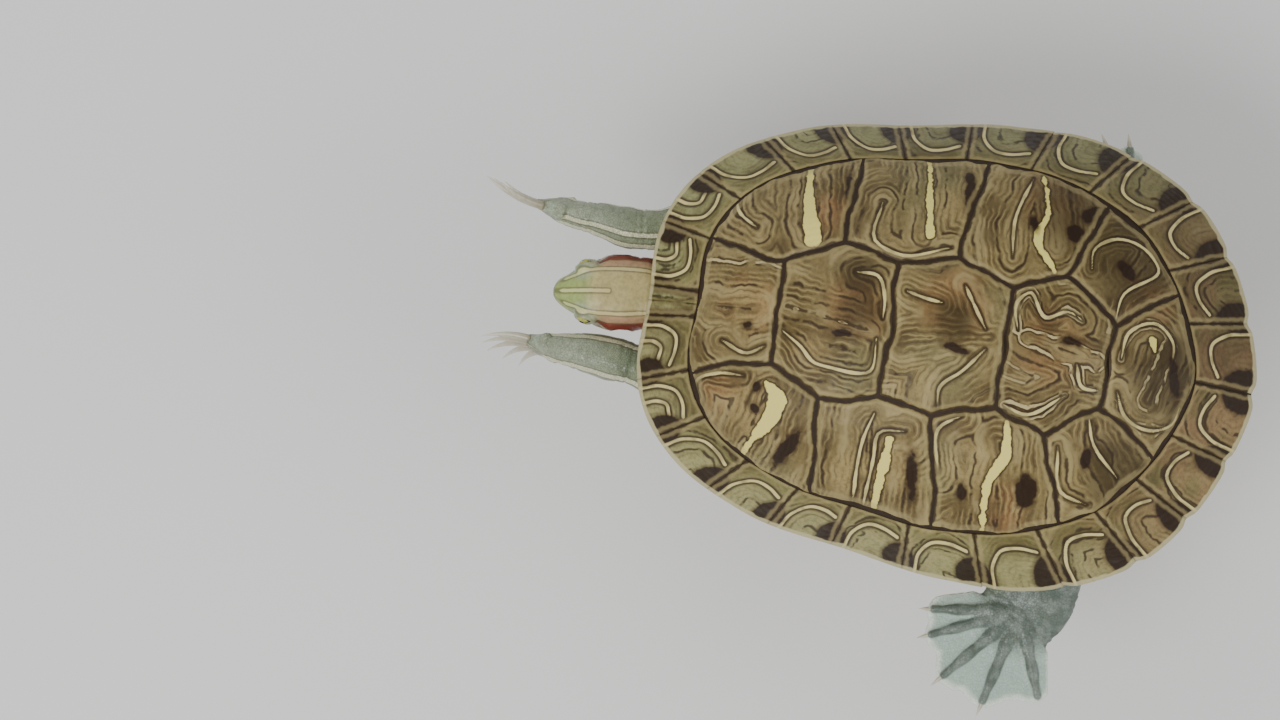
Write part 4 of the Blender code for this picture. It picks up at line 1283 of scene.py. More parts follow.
def mesh_arrays(mesh):
    """A mesh's points, in the shell's frame, and their normals."""
    found = []
    for key in ("co", "normal"):
        values = np.empty(len(mesh.vertices) * 3)
        mesh.vertices.foreach_get(key, values)
        found.append(values.reshape(-1, 3))
    return (found[0] - np.array(ORIGIN)) / MM, found[1]


def to_head(points):
    """Points in the head's own frame, with both sides folded onto +X."""
    local = moved(HEAD_MATRIX.inverted(), points)
    local[:, 0] = np.abs(local[:, 0])
    return local


def head_share(local):
    """1 on the head and the front of the neck, 0 on what passes beside them."""
    aside = local[:, 0] - head_size(local[:, 1], WIDE)
    below = head_size(local[:, 1], LOW) - local[:, 2]
    inside = smooth_step(2.0, 1.2, aside) * smooth_step(4, 2, below)
    return inside * smooth_step(14, 12, local[:, 2]) * (local[:, 1] < 33) * (local[:, 1] > -30)


def eye_pose(side):
    """Centre and outward axis of the eye on a side of the head's own frame."""
    centre = moved(HEAD_MATRIX, [(side * EYE_PLACE[0], EYE_PLACE[1], EYE_PLACE[2])])[0]
    return centre, unit(HEAD_TURN @ np.array((side * EYE_AXIS[0], EYE_AXIS[1], EYE_AXIS[2])))


def sculpt_eyes(points):
    """Lids wrapped round each eyeball, with an almond opening."""
    for side in (1, -1):
        centre, axis = eye_pose(side)
        ahead = HEAD_TURN @ np.array((0, 1.0, -0.12))
        ahead = unit(ahead - axis * (ahead @ axis))
        above = np.cross(axis, ahead)
        above = above * np.sign(above[2])
        offset = points - centre
        radius = np.linalg.norm(offset, axis=1)
        outward = offset / np.maximum(radius, 1e-6)[:, None]
        facing = outward @ axis
        opening = np.hypot(outward @ ahead / 0.80, (outward @ above + 0.04) / 0.63) + 9 * (facing < 0.1)
        near = (radius < 8) & (facing > -0.75) & (head_share(to_head(points)) > 0.5)
        radius = np.maximum(radius, EYE_RADIUS + 0.45)
        lid = np.minimum(radius, EYE_RADIUS + 0.75)
        weight = smooth_step(1.75, 1.12, opening)
        wrapped = radius * (1 - weight) + lid * weight
        crease = 0.22 * bell((opening - 1.48) / 0.10)
        open_share = smooth_step(1.06, 0.94, opening)
        wrapped = (wrapped - crease) * (1 - open_share) + (EYE_RADIUS - 0.7) * open_share
        points = np.where(near[:, None], centre + outward * wrapped[:, None], points)
    return points


def mouth_height(forward):
    """Height of the mouth line at lengths forward, and the share of the way to its rear end."""
    (front, front_height), (rear, rear_height) = MOUTH
    share = np.clip((front - forward) / (front - rear), 0, 1)
    return front_height + (rear_height - front_height) * share - MOUTH_SAG * np.sin(pi * share), share


def sculpt_head(points, normals):
    """Mouth line, nostrils, ear drums, brow and folds of the throat."""
    local = to_head(points)
    x, forward, height = local.T
    rear = MOUTH[1][0]
    line, share = mouth_height(forward)
    gap = height - (line - 1.0 * smooth_step(0.85, 1.0, share))
    lips = -0.42 * bell(gap / 0.38) + 0.22 * bell((gap - 1.0) / 0.7) + 0.15 * bell((gap + 0.9) / 0.6)
    push = lips * smooth_step(rear - 2.0, rear + 0.5, forward)
    push += -0.75 * bell(np.linalg.norm(local - np.array(NOSTRIL), axis=1) / 0.42)
    drum = np.hypot(forward - 8.8, height - 0.2) / 3.0
    rim_of_drum = 0.22 * bell((drum - 1.12) / 0.16)
    push += (-0.30 * smooth_step(1.0, 0.8, drum) + rim_of_drum) * smooth_step(7, 9, x)
    push += 0.45 * bell((forward - 19.0) / 4.2) * bell((x - 6.2) / 1.9) * smooth_step(5.5, 8.0, height)
    push += -0.30 * bell(x / 2.6) * bell((forward - 22.0) / 4.0) * smooth_step(4, 7, height)
    on_head = smooth_step(-2, 4, forward) * head_share(local)
    return points + normals * (push * on_head)[:, None]


CREASE_SPOTS = (0.36, 0.62, 0.84)  # shares of a leg's length where its skin creases


def sculpt_folds(points, normals, limbs):
    """Loose skin: rings of folds on the neck, creases at the legs' joints, and soft unevenness."""
    along, _, ratio, _ = limbs["neck"].locate(points)
    on_neck = smooth_step(1.9, 1.3, ratio) * smooth_step(37, 30, along)
    sway = waves(points, 9.0, 11) * 1.8
    folds = np.sin((along + sway) * 2 * pi / 3.1) * 0.34 * smooth_step(34, 22, along)
    fine = np.sin((along + sway * 0.7) * 2 * pi / 1.45) * 0.10
    push = (folds + fine) * on_neck
    for name in LEGS:
        along, _, ratio, _ = limbs[name].locate(points)
        on_leg = smooth_step(1.9, 1.3, ratio)
        for spot in CREASE_SPOTS:
            width = (along + waves(points, 6.0, 12) * 1.1) - limbs[name].along[-1] * spot
            push += -0.30 * bell(width / 0.8) * on_leg
            push += -0.22 * bell((width - 2.4) / 0.7) * on_leg
    push += waves(points, 5.0, 13) * 0.22 * smooth_step(60, 66, np.abs(points[:, 1] + 8))
    return points + normals * push[:, None]


def scale_relief(points, size):
    """0 in the creases between small scales, 1 on them."""
    values = np.empty(len(points))
    for i, p in enumerate(points):
        distances = noise.voronoi(Vector(p) / size)[0]
        values[i] = distances[1] - distances[0]
    return smooth_step(0.02, 0.30, values)


# ---- flesh: markings ----

# Stripes on the head, folded to one side: (x, forward, height) points and half-width
STRIPES = (
    (((0.0, 26.0, 6.4), (0.0, 21.0, 8.6), (0.0, 12.0, 9.8)), 0.40),
    ((
        (4.3, 25.0, 5.6), (6.0, 21.8, 7.6), (6.9, 16.0, 8.9), (7.2, 8.0, 8.6), (6.8, 0.0, 7.6),
        (6.8, -9, 6.8),
    ), 0.42),
    (((9.9, 15.3, 2.6), (11.2, 9.0, -0.9), (11.2, 2.0, -0.6), (10.8, -9, -0.4)), 0.50),
    (((4.2, 27.0, 0.9), (7.3, 22.0, -1.0), (9.9, 16.0, -3.0), (10.8, 8.0, -4.2), (10.0, -9, -3.9)), 0.38),
    (((2.4, 26.5, -3.0), (5.4, 20.0, -5.4), (6.6, 12.0, -7.0), (6.6, -9, -6.7)), 0.40),
    (((0.0, 24.0, -4.6), (0.0, 14.0, -7.1), (0.0, -9, -7.6)), 0.40),
)
EAR_PATCH = (((9.6, 15.6, 4.6), (10.9, 9.5, 4.0), (11.2, 3.0, 3.6), (10.7, -3.5, 3.3)), 1.7)
# Cream stripes along the limbs: angle round the limb in degrees, half-width in millimetres
LIMB_STRIPES = {
    "neck": (
        (62, 0.45), (118, 0.45), (28, 0.35), (152, 0.35), (-8, 0.5), (188, 0.5), (-50, 0.5), (230, 0.5),
    ),
    "foreleg_right": ((152, 1.0), (112, 0.55), (22, 0.6), (-40, 0.7), (215, 0.6)),
    "foreleg_left": ((146, 1.05), (40, 0.8), (-40, 0.7), (215, 0.6)),
    "hindleg_left": ((150, 0.35), (30, 0.35), (-60, 0.6), (240, 0.6)),
    "hindleg_right": ((150, 0.6), (30, 0.6), (-60, 0.6), (240, 0.6)),
    "tail": ((60, 0.5), (120, 0.5), (0, 0.45), (180, 0.45)),
}
TOE_STRIPE = 0.05
HEAD_ROUND = 9.0  # radius at which angles round the head are turned into millimetres


def over_head(local):
    """Points of the head laid flat: millimetres round it from its side, and forward."""
    forward = local[:, 1]
    high = head_size(forward, HIGH)
    low = head_size(forward, LOW)
    above = (local[:, 2] - (high + low) / 2) / ((high - low) / 2)
    turn = np.arctan2(above, local[:, 0] / head_size(forward, WIDE))
    return np.c_[turn * HEAD_ROUND, forward]


def line_distance(points, spots):
    """Distance of points from a line through spots."""
    best = np.full(len(points), 30.0)
    for a, b in zip(np.array(spots[:-1], float), np.array(spots[1:], float)):
        along = b - a
        share = np.clip(((points - a) @ along) / (along @ along), 0, 1)
        best = np.minimum(best, np.linalg.norm(points - a - share[:, None] * along, axis=1))
    return best


def limb_stripe(points, limbs):
    """Distance from the cream stripes along the limbs."""
    stripe = np.full(len(points), FAR)
    for name, limb in limbs.items():
        along, angle, ratio, radius = limb.locate(points)
        mine = (ratio < 1.45) & (along > 0.12 * limb.along[-1])
        best = np.full(len(points), FAR)
        for turn, half in LIMB_STRIPES[name]:
            off = np.abs((angle - turn + 180) % 360 - 180)
            best = np.minimum(best, np.radians(off) * radius - half)
        if name[:4] == "hind":
            best = best + 4 * smooth_step(0.55, 0.72, along / limb.along[-1])
        stripe = np.where(mine, np.minimum(stripe, best), stripe)
    return stripe


def head_stripe(flat, forward):
    """Distance from the stripes of the head, at points laid flat by over_head()."""
    shrink = head_size(forward, WIDE) / HEAD_ROUND
    gaps = [line_distance(flat, over_head(np.array(spots))) * shrink - half for spots, half in STRIPES]
    return np.min(gaps, 0)


def ear_patch(flat, forward, on_neck):
    """Distance from the red patch behind the eye."""
    spots, half = EAR_PATCH
    swell = smooth_step(17.5, 10, forward) * (0.5 + 0.5 * smooth_step(-8, 3, forward))
    patch = line_distance(flat, over_head(np.array(spots))) - 0.3 - half * swell
    return np.where((forward > -8) & on_neck, patch, FAR)


def head_facts(local):
    """Tones of the head, and how near each point is to the mouth line and the nostrils."""
    aside, forward, height = local.T
    head = smooth_step(-6, 0, forward) * head_share(local)
    on_head = head > 0.5
    rear = MOUTH[1][0]
    mouth = np.abs(height - mouth_height(forward)[0]) + 9 * (forward < rear - 0.5) + 9 * (1 - on_head)
    nostril = np.linalg.norm(local - np.array(NOSTRIL), axis=1)
    eye = np.linalg.norm(local - np.array(EYE_PLACE), axis=1)
    return {
        "tan": head * smooth_step(24, 16, forward) * smooth_step(-2, 3, height),
        "lime": head * smooth_step(15, 22, forward),
        "pink": head * smooth_step(6.6, 8.2, aside) * smooth_step(19, 13, forward),
        # dark: painted shade along the mouth line and in the nostrils
        "scaly": 1 - head, "dark": np.clip(np.minimum(mouth, nostril - 0.3), 0, FAR),
        "pale": 0.8 * on_head * smooth_step(5.6, 4.2, eye),
        "beak": on_head * smooth_step(1.3, 0.7, mouth) * smooth_step(rear, rear + 3, forward),
    }


def foot_facts(foot, points, facts):
    """Adds to the facts a painted highlight on a foot's web, a painted highlight along the hind foot's edge
    and the stripes along its toes.
    """
    x, y, z = moved(foot_matrix(foot).inverted(), points).T
    distance = np.hypot(x, y)
    angle = np.degrees(np.arctan2(x, y))
    inside = (np.abs(z) < 6) & (distance < foot.reach + 2) & (distance > 3)
    inside &= (angle > foot.toes[0] - 22) & (angle < foot.toes[-1] + 22)
    out = smooth_step(0.22, 0.5, distance / foot.reach)
    # painted highlight on the web between the toes, stronger out towards the edge
    web = smooth_step(1.1, 0.3, toe_relief(foot, np.c_[x, y])) * out * WEB_HIGHLIGHT[kind(foot)]
    facts["web"] = np.where(inside, np.maximum(facts["web"], web), facts["web"])
    stripe = np.full(len(points), FAR)
    if kind(foot) == "hind":
        # painted highlight along the hind foot's outer edge
        edge = smooth_step(0.90, 0.97, distance / fan_edge(foot, angle)) * web
        facts["glow"] = np.where(inside, np.maximum(facts["glow"], edge), facts["glow"])
    else:
        for turn in foot.toes:
            across = x * cos(radians(turn)) - y * sin(radians(turn))
            stripe = np.minimum(stripe, np.abs(across) - TOE_STRIPE + 3 * (z < 0))
    facts["stripe"] = np.where(inside & (out > 0.5), stripe, facts["stripe"])


def skin_facts(points, limbs):
    """Markings of the skin: how near each point is to stripes and patches, and its own tone."""
    local = to_head(points)
    forward = local[:, 1]
    flat = over_head(local)
    facts = head_facts(local)
    on_neck = head_share(local) > 0.5
    on_head = facts["scaly"] < 0.5
    red = ear_patch(flat, forward, on_neck)
    stripe = np.where(on_head, head_stripe(flat, forward), limb_stripe(points, limbs))
    facts["stripe"] = np.where(red < 0.9, FAR, stripe)
    facts["red"] = np.clip(red, -5, FAR)
    facts["web"] = np.zeros(len(points))
    facts["glow"] = np.zeros(len(points))
    for foot in FEET:
        foot_facts(foot, points, facts)
    facts["stripe"] = np.clip(facts["stripe"], -5, FAR)
    # painted light: the forelegs' outer lengths and the forefeet made paler
    facts["pale"] += (1 - on_head) * smooth_step(-88, -112, points[:, 1])
    hind = smooth_step(20, 50, points[:, 1]) + smooth_step(60, 75, points[:, 0])
    facts["hind"] = np.clip(hind, 0, 1)
    return facts


def skin_material():
    s = Shading("turtle_skin", 0.46, 0.5, coat=0.12)
    slow = s.noise(160)
    quick = s.noise(700, 3.0, 0.6)
    web = s.fact("web")
    lime = s.fact("lime")
    slate = s.mix(s.ramp(s.noise(240), 0.40, 0.62), (86, 100, 98), (126, 138, 134))
    colour = s.over(
        s.mix(s.ramp(slow, 0.35, 0.65), (136, 146, 112), (100, 112, 82)),
        (s.fact("hind") * 0.8, slate),
        (s.fact("tan"), (186, 170, 112)),
        (s.fact("pink") * 0.75, (182, 134, 106)),
        (lime, (158, 172, 98)),
        (s.fact("beak") * 0.4, (188, 190, 122)),
        # pale lids round the eyes, and painted light on the forelegs' outer lengths and the forefeet
        (s.fact("pale") * 0.75, (168, 176, 150)),
        (s.ramp(quick, 0.35, 0.75, 0.35), (84, 86, 58)),
        # painted highlight on the feet's webs
        (web * 0.7, (188, 208, 194)),
        # painted highlight along the hind foot's edge
        (s.fact("glow") * 0.8, (230, 238, 222)),
    )
    ragged = (quick - 0.5) * 0.3
    stripe = s.fact("stripe") + ragged
    red = s.fact("red") + ragged
    cream = s.mix(s.fact("tan"), (218, 216, 178), (208, 192, 132))
    cream = s.mix(lime, cream, (202, 204, 138))
    inputs = (("Vector", s.coordinates), ("Scale", 1300))
    cells = s.node("ShaderNodeTexVoronoi", "Distance", inputs, feature="DISTANCE_TO_EDGE")
    creases = s.ramp(cells, 0.0, 0.12)
    crease_shade_share = s.fact("scaly") * (web * -0.75 + 1.0)
    colour = s.over(
        colour,
        (s.ramp(stripe, 0.95, 0.30, 0.62), (74, 66, 40)),
        (s.ramp(stripe, 0.25, 0.0, 0.92), cream),
        (s.ramp(red, 0.9, 0.2, 0.75), (62, 44, 30)),
        (s.ramp(red, 0.15, -0.2), s.mix(slow, (136, 62, 46), (108, 46, 36))),
        # painted shade along the mouth line and in the nostrils
        (s.ramp(s.fact("dark"), 0.42, 0.1, 0.85), (46, 36, 24)),
        # painted shade in the creases between the small scales, off the head and less on the webs
        ((creases * -1.0 + 1.0) * crease_shade_share * 0.4, (66, 70, 50)),
    )
    height = creases * (s.fact("scaly") * 0.85 + 0.15) + s.noise(2200, 3.0) * 0.35
    return s.finish(colour, s.bump(height, 0.00022, 0.55), s.ramp(quick, 0.3, 0.7, 0.52, 0.36))


def fine_areas(points):
    """Where the skin keeps its fine mesh: the head, the forelegs' outer lengths and the feet."""
    local = to_head(points)
    fine = (head_share(local) > 0.5) & (local[:, 1] > -5)
    fine |= points[:, 1] < FORELEGS_FINE
    for foot in FEET:
        gap = np.linalg.norm(points - np.array(foot.ankle), axis=1)
        fine |= gap < foot.reach + ANKLE_AHEAD + 2
    return fine


SCALE_SIZE = 1.9
SCALE_DEPTH = 0.13


def sculpted(points, normals, limbs):
    """Points of the skin moved into its folds, scales, face and eyelids."""
    points = sculpt_folds(points, normals, limbs)
    scaly = smooth_step(2, -6, to_head(points)[:, 1])
    points = points - normals * ((1 - scale_relief(points, SCALE_SIZE)) * SCALE_DEPTH * scaly)[:, None]
    return sculpt_eyes(sculpt_head(points, normals))


def modify(piece, kind, **settings):
    made = piece.modifiers.new(kind.lower(), kind)
    for key, value in settings.items():
        setattr(made, key, value)


def build_skin(finish):
    """One skin over the head, neck, legs, feet, tail and body."""
    limbs = {
        "neck": Limb(NECK), "tail": Limb(TAIL), "foreleg_right": Limb(FORELEG_RIGHT),
        "foreleg_left": Limb(FORELEG_LEFT), "hindleg_left": Limb(HINDLEG_LEFT),
        "hindleg_right": Limb(HINDLEG_RIGHT),
    }
    parts = [limb.solid() for limb in limbs.values()] + [head_solid(), trunk_solid()]
    flesh = flesh_object(parts + [foot_solid(foot) for foot in FEET])
    modify(flesh, "REMESH", mode="VOXEL", voxel_size=VOXEL * MM)
    modify(flesh, "SMOOTH", factor=0.5, iterations=5)
    mesh = applied(flesh)
    points, normals = mesh_arrays(mesh)
    outer = (points[:, 1] < -58) | (points[:, 1] > 38) | (np.abs(points[:, 0]) > 52)
    points[outer] = sculpted(points[outer], normals[outer], limbs)
    mesh.vertices.foreach_set("co", place(points).ravel())
    mesh.update()
    triangles = 2 * len(mesh.polygons)
    hidden = flesh.vertex_groups.new(name="hidden")
    hidden.add(np.flatnonzero(~fine_areas(points)).tolist(), 1.0, "REPLACE")
    modify(flesh, "DECIMATE", vertex_group=hidden.name, ratio=min(1.0, SKIN_TRIANGLES / triangles))
    mesh = applied(flesh)
    flesh.vertex_groups.clear()
    set_facts(mesh, skin_facts(mesh_arrays(mesh)[0], limbs))
    mesh.materials.clear()
    mesh.materials.append(finish)
    mesh.shade_smooth()
    flesh.name = "turtle_skin"
    mesh.name = "turtle_skin"
    names = ["trunk", "neck", "head", "jaw", "tail"]
    for side in ("left", "right"):
        names += ["foreleg_" + side + "_upper", "foreleg_" + side + "_lower", "forefoot_" + side]
        names += ["hindleg_" + side + "_upper", "hindleg_" + side + "_lower", "hindfoot_" + side]
    put(flesh, "skin", *names)


# ---- eyes and claws ----

EYEBALL_SHARE = 0.975  # the eyeball's size, as a share of EYE_RADIUS
CORNEA_BULGE = 0.045
CLAW_STEPS = 18
CLAW_SIDES = 16


def eye_material():
    """A yellow-green iris with a dark bar across it, round a black pupil."""
    s = Shading("turtle_eye", 0.06, 0.6, coat=1.0, coat_roughness=0.03)
    from_axis = s.fact("from_axis")
    return s.finish(s.over(
        s.mix(s.ramp(s.noise(1800, 3.0), 0.3, 0.7), (148, 152, 62), (196, 190, 96)),
        (s.ramp(from_axis, 0.62, 0.80), (44, 40, 22)),
        (s.ramp(s.fact("level"), 0.20, 0.10) * 0.85, (34, 28, 16)),
        (s.ramp(from_axis, 0.34, 0.31), (190, 190, 110)),
        (s.ramp(from_axis, 0.30, 0.27), (6, 6, 5)),
    ))


def build_eyes(finish):
    for side, label in ((1, "right"), (-1, "left")):
        centre, axis = eye_pose(side)
        shape = bmesh.new()
        bmesh.ops.create_uvsphere(shape, u_segments=48, v_segments=32, radius=1)
        matrix = Vector(axis).to_track_quat("Z", "Y").to_matrix()
        outward = np.array([v.co[:] for v in shape.verts]) @ np.array(matrix).T
        faces = [tuple(v.index for v in f.verts) for f in shape.faces]
        shape.free()
        facing = np.clip(outward @ axis, -1, 1)
        bulge = 1 + CORNEA_BULGE * smooth_step(0.75, 1.0, facing)
        points = centre + outward * (EYE_RADIUS * EYEBALL_SHARE * bulge)[:, None]
        facts = {"from_axis": np.arccos(facing), "level": np.abs(outward[:, 2] - axis[2])}
        put(new_mesh("eyeball_" + label, points, faces, finish, facts), "eyes", "eye_" + label)


def claw_material():
    s = Shading("claw_horn", 0.30, 0.5, coat=0.3)
    grain = s.noise(900, 3.0)
    colour = s.mix(s.fact("share"), (158, 150, 124), (212, 206, 186))
    colour = s.mix(s.ramp(grain, 0.4, 0.75, 0.3), colour, (132, 122, 98))
    return s.finish(colour, s.bump(grain, 0.0001, 0.3))


def claw_points(spot, forward, aside, length, curl):
    """Rings of points from the claw's root at spot to its tip, bending from forward to aside."""
    turns = np.linspace(0, 2 * pi, CLAW_SIDES, endpoint=False)
    points = []
    for k in range(CLAW_STEPS + 1):
        share = k / CLAW_STEPS
        swing = radians(curl) * share
        ahead = forward * cos(swing) + aside * sin(swing)
        across = aside * cos(swing) - forward * sin(swing)
        wide = ahead.cross(across)
        radius = CLAW_RADIUS * (1 - 0.93 * share ** 1.35)
        for angle in turns:
            keel = 1 + 0.10 * max(cos(angle - pi / 2), 0) ** 3
            points.append(spot + wide * (radius * 0.78 * cos(angle)) + across * (radius * keel * sin(angle)))
        spot = spot + ahead * (length / CLAW_STEPS)
    return np.array(points)


def build_claws(finish):
    facts = {"share": np.repeat(np.linspace(0, 1, CLAW_STEPS + 1), CLAW_SIDES)}
    faces = tube_faces(CLAW_STEPS + 1, CLAW_SIDES)
    for foot in FEET:
        matrix = foot_matrix(foot)
        turned = matrix.to_3x3()
        for number, turn in enumerate(foot.toes[-CLAWED_TOES[kind(foot)]:], 1):
            forward = turned @ Vector((*direction(turn), 0))
            aside = turned @ Vector(foot.bend)
            aside = (aside - forward * aside.dot(forward)).normalized()
            root = matrix.translation + forward * (toe_length(foot, turn) * CLAW_ROOT)
            length = foot.claw * (1 - CLAW_SHORTENING * abs(turn))
            points = claw_points(root, forward, aside, length, foot.curl)
            label = foot.name + "_claw_" + str(number)
            put(new_mesh(label + "_horn", points, faces, finish, facts), "claws", label)


# ---- plastron ----

# One half of its edge, as (share of the length from the front, half-width share)
PLASTRON_EDGE = (
    (0.035, 0.0), (0.03, 0.085), (0.08, 0.165), (0.16, 0.215), (0.27, 0.235), (0.315, 0.325), (0.40, 0.343),
    (0.56, 0.356), (0.605, 0.335), (0.65, 0.225), (0.78, 0.205), (0.89, 0.165), (0.955, 0.085), (0.935, 0.0),
)
# Seams across the plastron: (share of the length at the midline, and at the side, half-width there)
PLASTRON_SEAMS = (
    ((0.125, 0.0), (0.055, 0.15)), ((0.215, 0.0), (0.165, 0.22)), ((0.345, 0.0), (0.325, 0.35)),
    ((0.585, 0.0), (0.60, 0.35)), ((0.775, 0.0), (0.72, 0.23)),
)
MIDDLE_SEAM = (0.03, 0.94)  # its ends, as shares of the length
BRIDGE_SEAM = (0.29, 0.63, 0.262)  # its ends, and how far it lies to the side
# Dark blotches of one side: shares along and across, half-length and half-width in millimetres
PLASTRON_BLOTS = (
    (0.085, 0.045, 4, 3), (0.165, 0.10, 6, 5), (0.27, 0.12, 8, 6), (0.46, 0.12, 9, 8),
    (0.68, 0.11, 8, 6), (0.86, 0.075, 6, 5), (0.37, 0.315, 7, 2.4), (0.52, 0.325, 7, 2.4),
)
BLOT_TURN = 12
PLASTRON_THICKNESS = 4.0
PLASTRON_ROUND = 1.1  # how far its edge rounds over


def plastron_material():
    """Yellow horn with ringed dark blotches and dark seams."""
    s = Shading("plastron_horn", 0.38, 0.5)
    quick = s.noise(420, 3.0, 0.6)
    blot = s.fact("blot") + (quick - 0.5) * 4.5
    colour = s.over(
        s.mix(s.ramp(s.noise(90), 0.35, 0.65), (206, 176, 92), (190, 156, 82)),
        (s.ramp(blot, 0.8, -1.0, 0.9), (48, 36, 22)),
        (s.ramp(abs(blot + -2.6), 0.8, 0.2, 0.4), (120, 84, 40)),
        (s.ramp(s.fact("seam"), 0.7, 0.2, 0.75), (84, 62, 36)),
        (s.ramp(quick, 0.5, 0.8, 0.3), (160, 124, 66)),
    )
    return s.finish(colour, s.bump(quick, 0.0002, 0.4))


def seam_distance(flat):
    """Distance of plan points from the plastron's seams."""
    seams = [[shell_point(along, 0) for along in MIDDLE_SEAM]]
    first, last, aside = BRIDGE_SEAM
    for side, _ in SIDES:
        seams.append((shell_point(first, side * aside), shell_point(last, side * aside)))
        for middle, (along, across) in PLASTRON_SEAMS:
            seams.append((shell_point(*middle), shell_point(along, side * across)))
    return np.min([segment_distance(flat, *seam)[0] for seam in seams], 0)


def plastron_blots(flat):
    """Rough signed distance from the plastron's dark blotches, negative inside."""
    gaps = []
    for along, across, long, wide in PLASTRON_BLOTS:
        for side, _ in SIDES:
            gaps.append(blotch_distance(flat, (along, side * across), long, wide, side * BLOT_TURN))
    return np.min(gaps, 0)


def build_plastron(finish):
    """The lower shell with its bridges, one closed plate scored into twelve scutes."""
    half = [shell_point(*p) for p in PLASTRON_EDGE]
    corners = mirror_corners(half[1:-1], half[:1], half[-1:])
    edge = rounded(divided(corners, 1.6), 14)
    shares = np.r_[np.linspace(0.02, 0.97, 60), 0.985, 0.995, 1.0]

    def level(lift, shares):
        flat = np.concatenate([edge * s for s in shares])
        return np.c_[flat, plastron_height(flat[:, 0]) + lift]

    def round_off(shares):
        return PLASTRON_ROUND * smooth_step(0.975, 1.0, np.repeat(shares, len(edge)))

    lower = level(0, shares)
    gaps = seam_distance(lower[:, :2])
    spots = np.c_[lower[:, :2], np.zeros(len(lower))]
    lower[:, 2] += 0.35 * bell(gaps / 0.45) + round_off(shares) + 0.08 * waves(spots, 5, 21) + 0.15
    upper = level(PLASTRON_THICKNESS, shares[::-1])
    upper[:, 2] -= round_off(shares[::-1])
    points = np.concatenate((lower, upper))
    faces = tube_faces(2 * len(shares), len(edge))
    facts = {
        "seam": np.r_[gaps, np.full(len(upper), 9.0)],
        "blot": np.clip(plastron_blots(points[:, :2]), -9, FAR),
    }
    faces = flipped(faces) if area(edge) > 0 else faces
    piece = new_mesh("plastron_plate", points, faces, finish, facts)
    face_outwards(piece.data)
    put(piece, "plastron", "plastron")


# ---- stand ----

BASE_SIZE = (92.0, 124.0, 12.0)
BASE_CORNER = 30.0  # radius of its corners, seen from above
BASE_BROW = 2.2  # radius of its upper edge
BASE_FOOT = ((1.0, 0.0), (0.4, 0.0), (0.0, 0.4))  # its lower edge: inset, height
ROD_RADIUS = 4.0
ROD_SIDES = 64
ROD_PLACES = (("front", -36.0), ("rear", 36.0))
FLANGE = ((2.6, 0), (2.9, 0.3), (2.9, 1.0), (2.5, 1.4), (0, 1.7))  # out from the rod, up from the base
ROD_END = ((0, -0.9), (-0.4, -0.35))  # out from the rod, height


def wood_material():
    s = Shading("stand_walnut", 0.38, 0.4, coat=0.25)
    along = s.stretched(1.0, 0.08, 1.0)
    grain = s.noise(160, 4.0, 0.6, along, 0.6)
    pores = s.noise(1500, 3.0, 0.6, along)
    colour = s.mix(s.ramp(grain, 0.35, 0.68), (70, 44, 28), (104, 70, 46))
    colour = s.mix(s.ramp(pores, 0.55, 0.75, 0.5), colour, (44, 28, 18))
    return s.finish(colour, s.bump(pores, 0.0001, 0.3))


def steel_material():
    s = Shading("stand_steel", 0.28, 0.5, metallic=1.0)
    brushed = s.noise(2500, 2.0, 0.5, s.stretched(1.0, 1.0, 0.05))
    colour = s.mix(brushed, (176, 176, 178), (196, 196, 198))
    return s.finish(colour, None, s.ramp(brushed, 0.3, 0.7, 0.38, 0.24))


def build_base(finish):
    wide, deep, high = BASE_SIZE
    outline = []
    for start, x, y in ((0, 1, 1), (90, -1, 1), (180, -1, -1), (270, 1, -1)):
        middle = np.array((x * (wide / 2 - BASE_CORNER), y * (deep / 2 - BASE_CORNER)))
        turns = np.radians(start + np.linspace(0, 90, 25))
        outline += [middle + BASE_CORNER * np.array((cos(t), sin(t))) for t in turns]
    outline = np.array(outline)
    brow = high - BASE_BROW
    levels = [*BASE_FOOT, (0.0, brow)]
    for t in np.radians(np.linspace(15, 90, 6)):
        levels.append((BASE_BROW * (1 - cos(t)), brow + BASE_BROW * sin(t)))
    rings = []
    for inset, z in levels:
        rings.append(np.c_[shrunk(outline, inset), np.full(len(outline), z - STAND_CLEARANCE)])
    faces = tube_faces(len(rings), len(outline))
    piece = new_mesh("stand_walnut_base", np.concatenate(rings), faces, finish)
    put(piece, "stand_wood", "stand_base")


def build_rods(finish):
    turns = np.linspace(0, 2 * pi, ROD_SIDES, endpoint=False)
    low = BASE_SIZE[2] - STAND_CLEARANCE
    profile = [(ROD_RADIUS + out, low + up) for out, up in FLANGE]
    profile += [(ROD_RADIUS + out, height) for out, height in ROD_END]
    faces = tube_faces(len(profile), ROD_SIDES)
    for label, along in ROD_PLACES:
        rings = []
        for radius, z in profile:
            ring = (radius * np.cos(turns), along + radius * np.sin(turns), np.full(ROD_SIDES, z))
            rings.append(np.stack(ring, -1))
        piece = new_mesh("stand_steel_rod_" + label, np.concatenate(rings), faces, finish)
        piece.data.shade_flat()
        put(piece, "stand_steel", "stand_rod_" + label)


# ---- setting ----

# Name, place, size in metres, power in watts
LAMPS = (
    ("key", (0.72, -0.45, 1.15), 0.9, 14),
    ("fill", (-0.85, -0.55, 0.75), 1.1, 4.5),
    ("back", (0.1, 1.1, 0.8), 0.8, 6),
)
LAMP_AIM = (0, 0, 0.1)
ROOM_COLOUR = (0.9, 0.92, 0.95, 1)
ROOM_LIGHT = 0.45
CAMERA_LENS = 100
CAMERA_SENSOR = 36
CAMERA_HEIGHT = 1.049  # over the shell's rim, in metres
CAMERA_ASIDE = 0.0642
CAMERA_ROLL = 9.04  # degrees
SHELL_SEEN = (0.087075, 0.00343125, -1)  # where the shell's middle lies, as the camera sees it


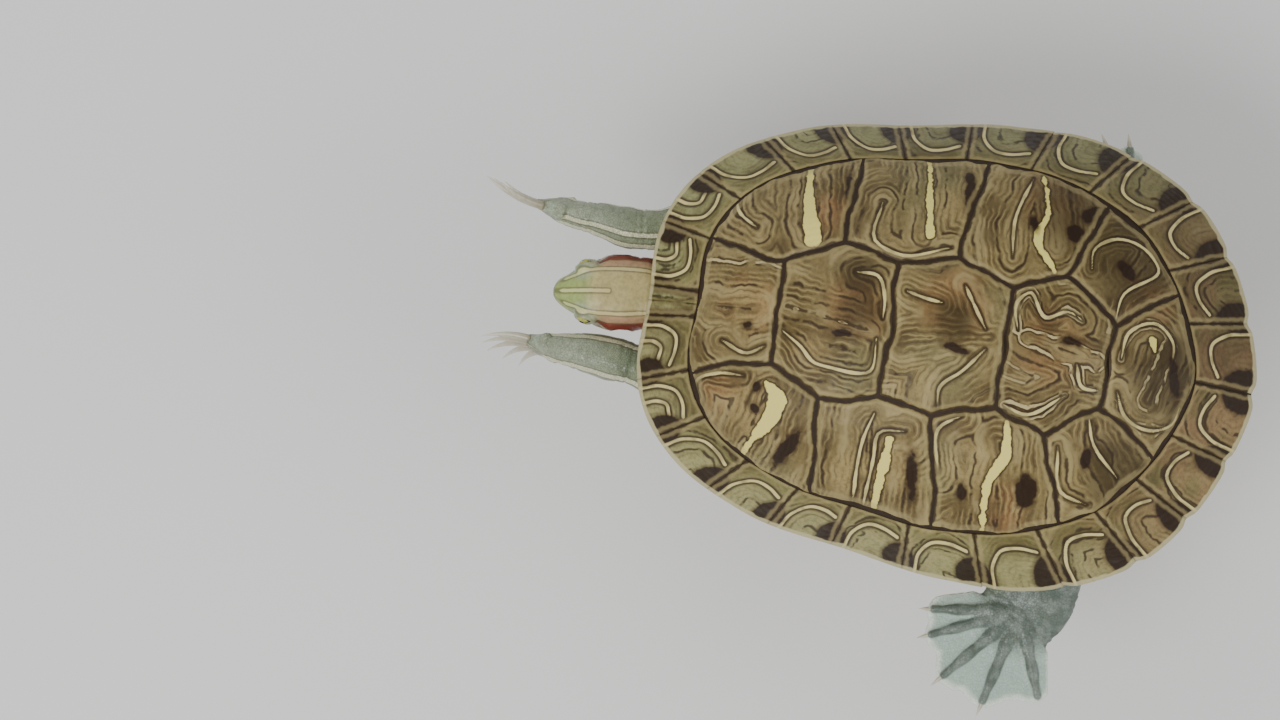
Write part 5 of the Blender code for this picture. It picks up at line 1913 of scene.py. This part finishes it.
def build_stage():
    bpy.ops.mesh.primitive_plane_add(size=8, location=(0, 0, 0))
    floor = bpy.context.object
    floor.name = "floor"
    s = Shading("floor_paint", 0.85, 0.2)
    floor.data.materials.append(s.finish(s.mix(s.noise(3), (226, 226, 224), (230, 230, 228))))


def build_lights():
    for name, spot, size, power in LAMPS:
        lamp = bpy.data.lights.new(name, "AREA")
        lamp.shape = "DISK"
        lamp.size = size
        lamp.energy = power
        made = linked(name, lamp)
        made.location = spot
        made.rotation_euler = (Vector(LAMP_AIM) - Vector(spot)).to_track_quat("-Z", "Y").to_euler()
    world = bpy.data.worlds.new("soft_room")
    world.use_nodes = True
    background = world.node_tree.nodes["Background"]
    background.inputs["Color"].default_value = ROOM_COLOUR
    background.inputs["Strength"].default_value = ROOM_LIGHT
    bpy.context.scene.world = world


def build_camera():
    """Nearly overhead, with the turtle in the right of the frame and its tail end a little low."""
    camera = bpy.data.cameras.new("camera")
    camera.lens = CAMERA_LENS
    camera.sensor_width = CAMERA_SENSOR
    aim = Vector(place((0, 0, RIM_HEIGHT)))
    eye = aim + Vector((CAMERA_ASIDE, 0, CAMERA_HEIGHT))
    sight = (aim - eye).normalized()
    roll = radians(CAMERA_ROLL)
    right = Vector((-sin(roll), cos(roll), 0))
    right = (right - sight * right.dot(sight)).normalized()
    direct = Matrix((right, right.cross(sight), -sight)).transposed()
    turn = Vector(SHELL_SEEN).normalized().rotation_difference(Vector((0, 0, -1)))
    made = linked("camera", camera)
    made.matrix_world = Matrix.Translation(eye) @ (direct @ turn.to_matrix()).to_4x4()
    bpy.context.scene.camera = made


def main():
    browns = ((130, 114, 72), (102, 86, 50))
    olives = ((126, 120, 74), (106, 98, 56))
    build_seam_bed(seam_material())
    build_scutes(shell_material("scute_horn", browns, (142, 106, 66), (128, 122, 80), 0.22, 1.0))
    build_marginals(shell_material("rim_horn", olives, (150, 118, 82), (164, 166, 114), 0.06, 0.5))
    build_plastron(plastron_material())
    build_skin(skin_material())
    build_eyes(eye_material())
    build_claws(claw_material())
    build_base(wood_material())
    build_rods(steel_material())
    build_stage()
    build_lights()
    build_camera()


main()
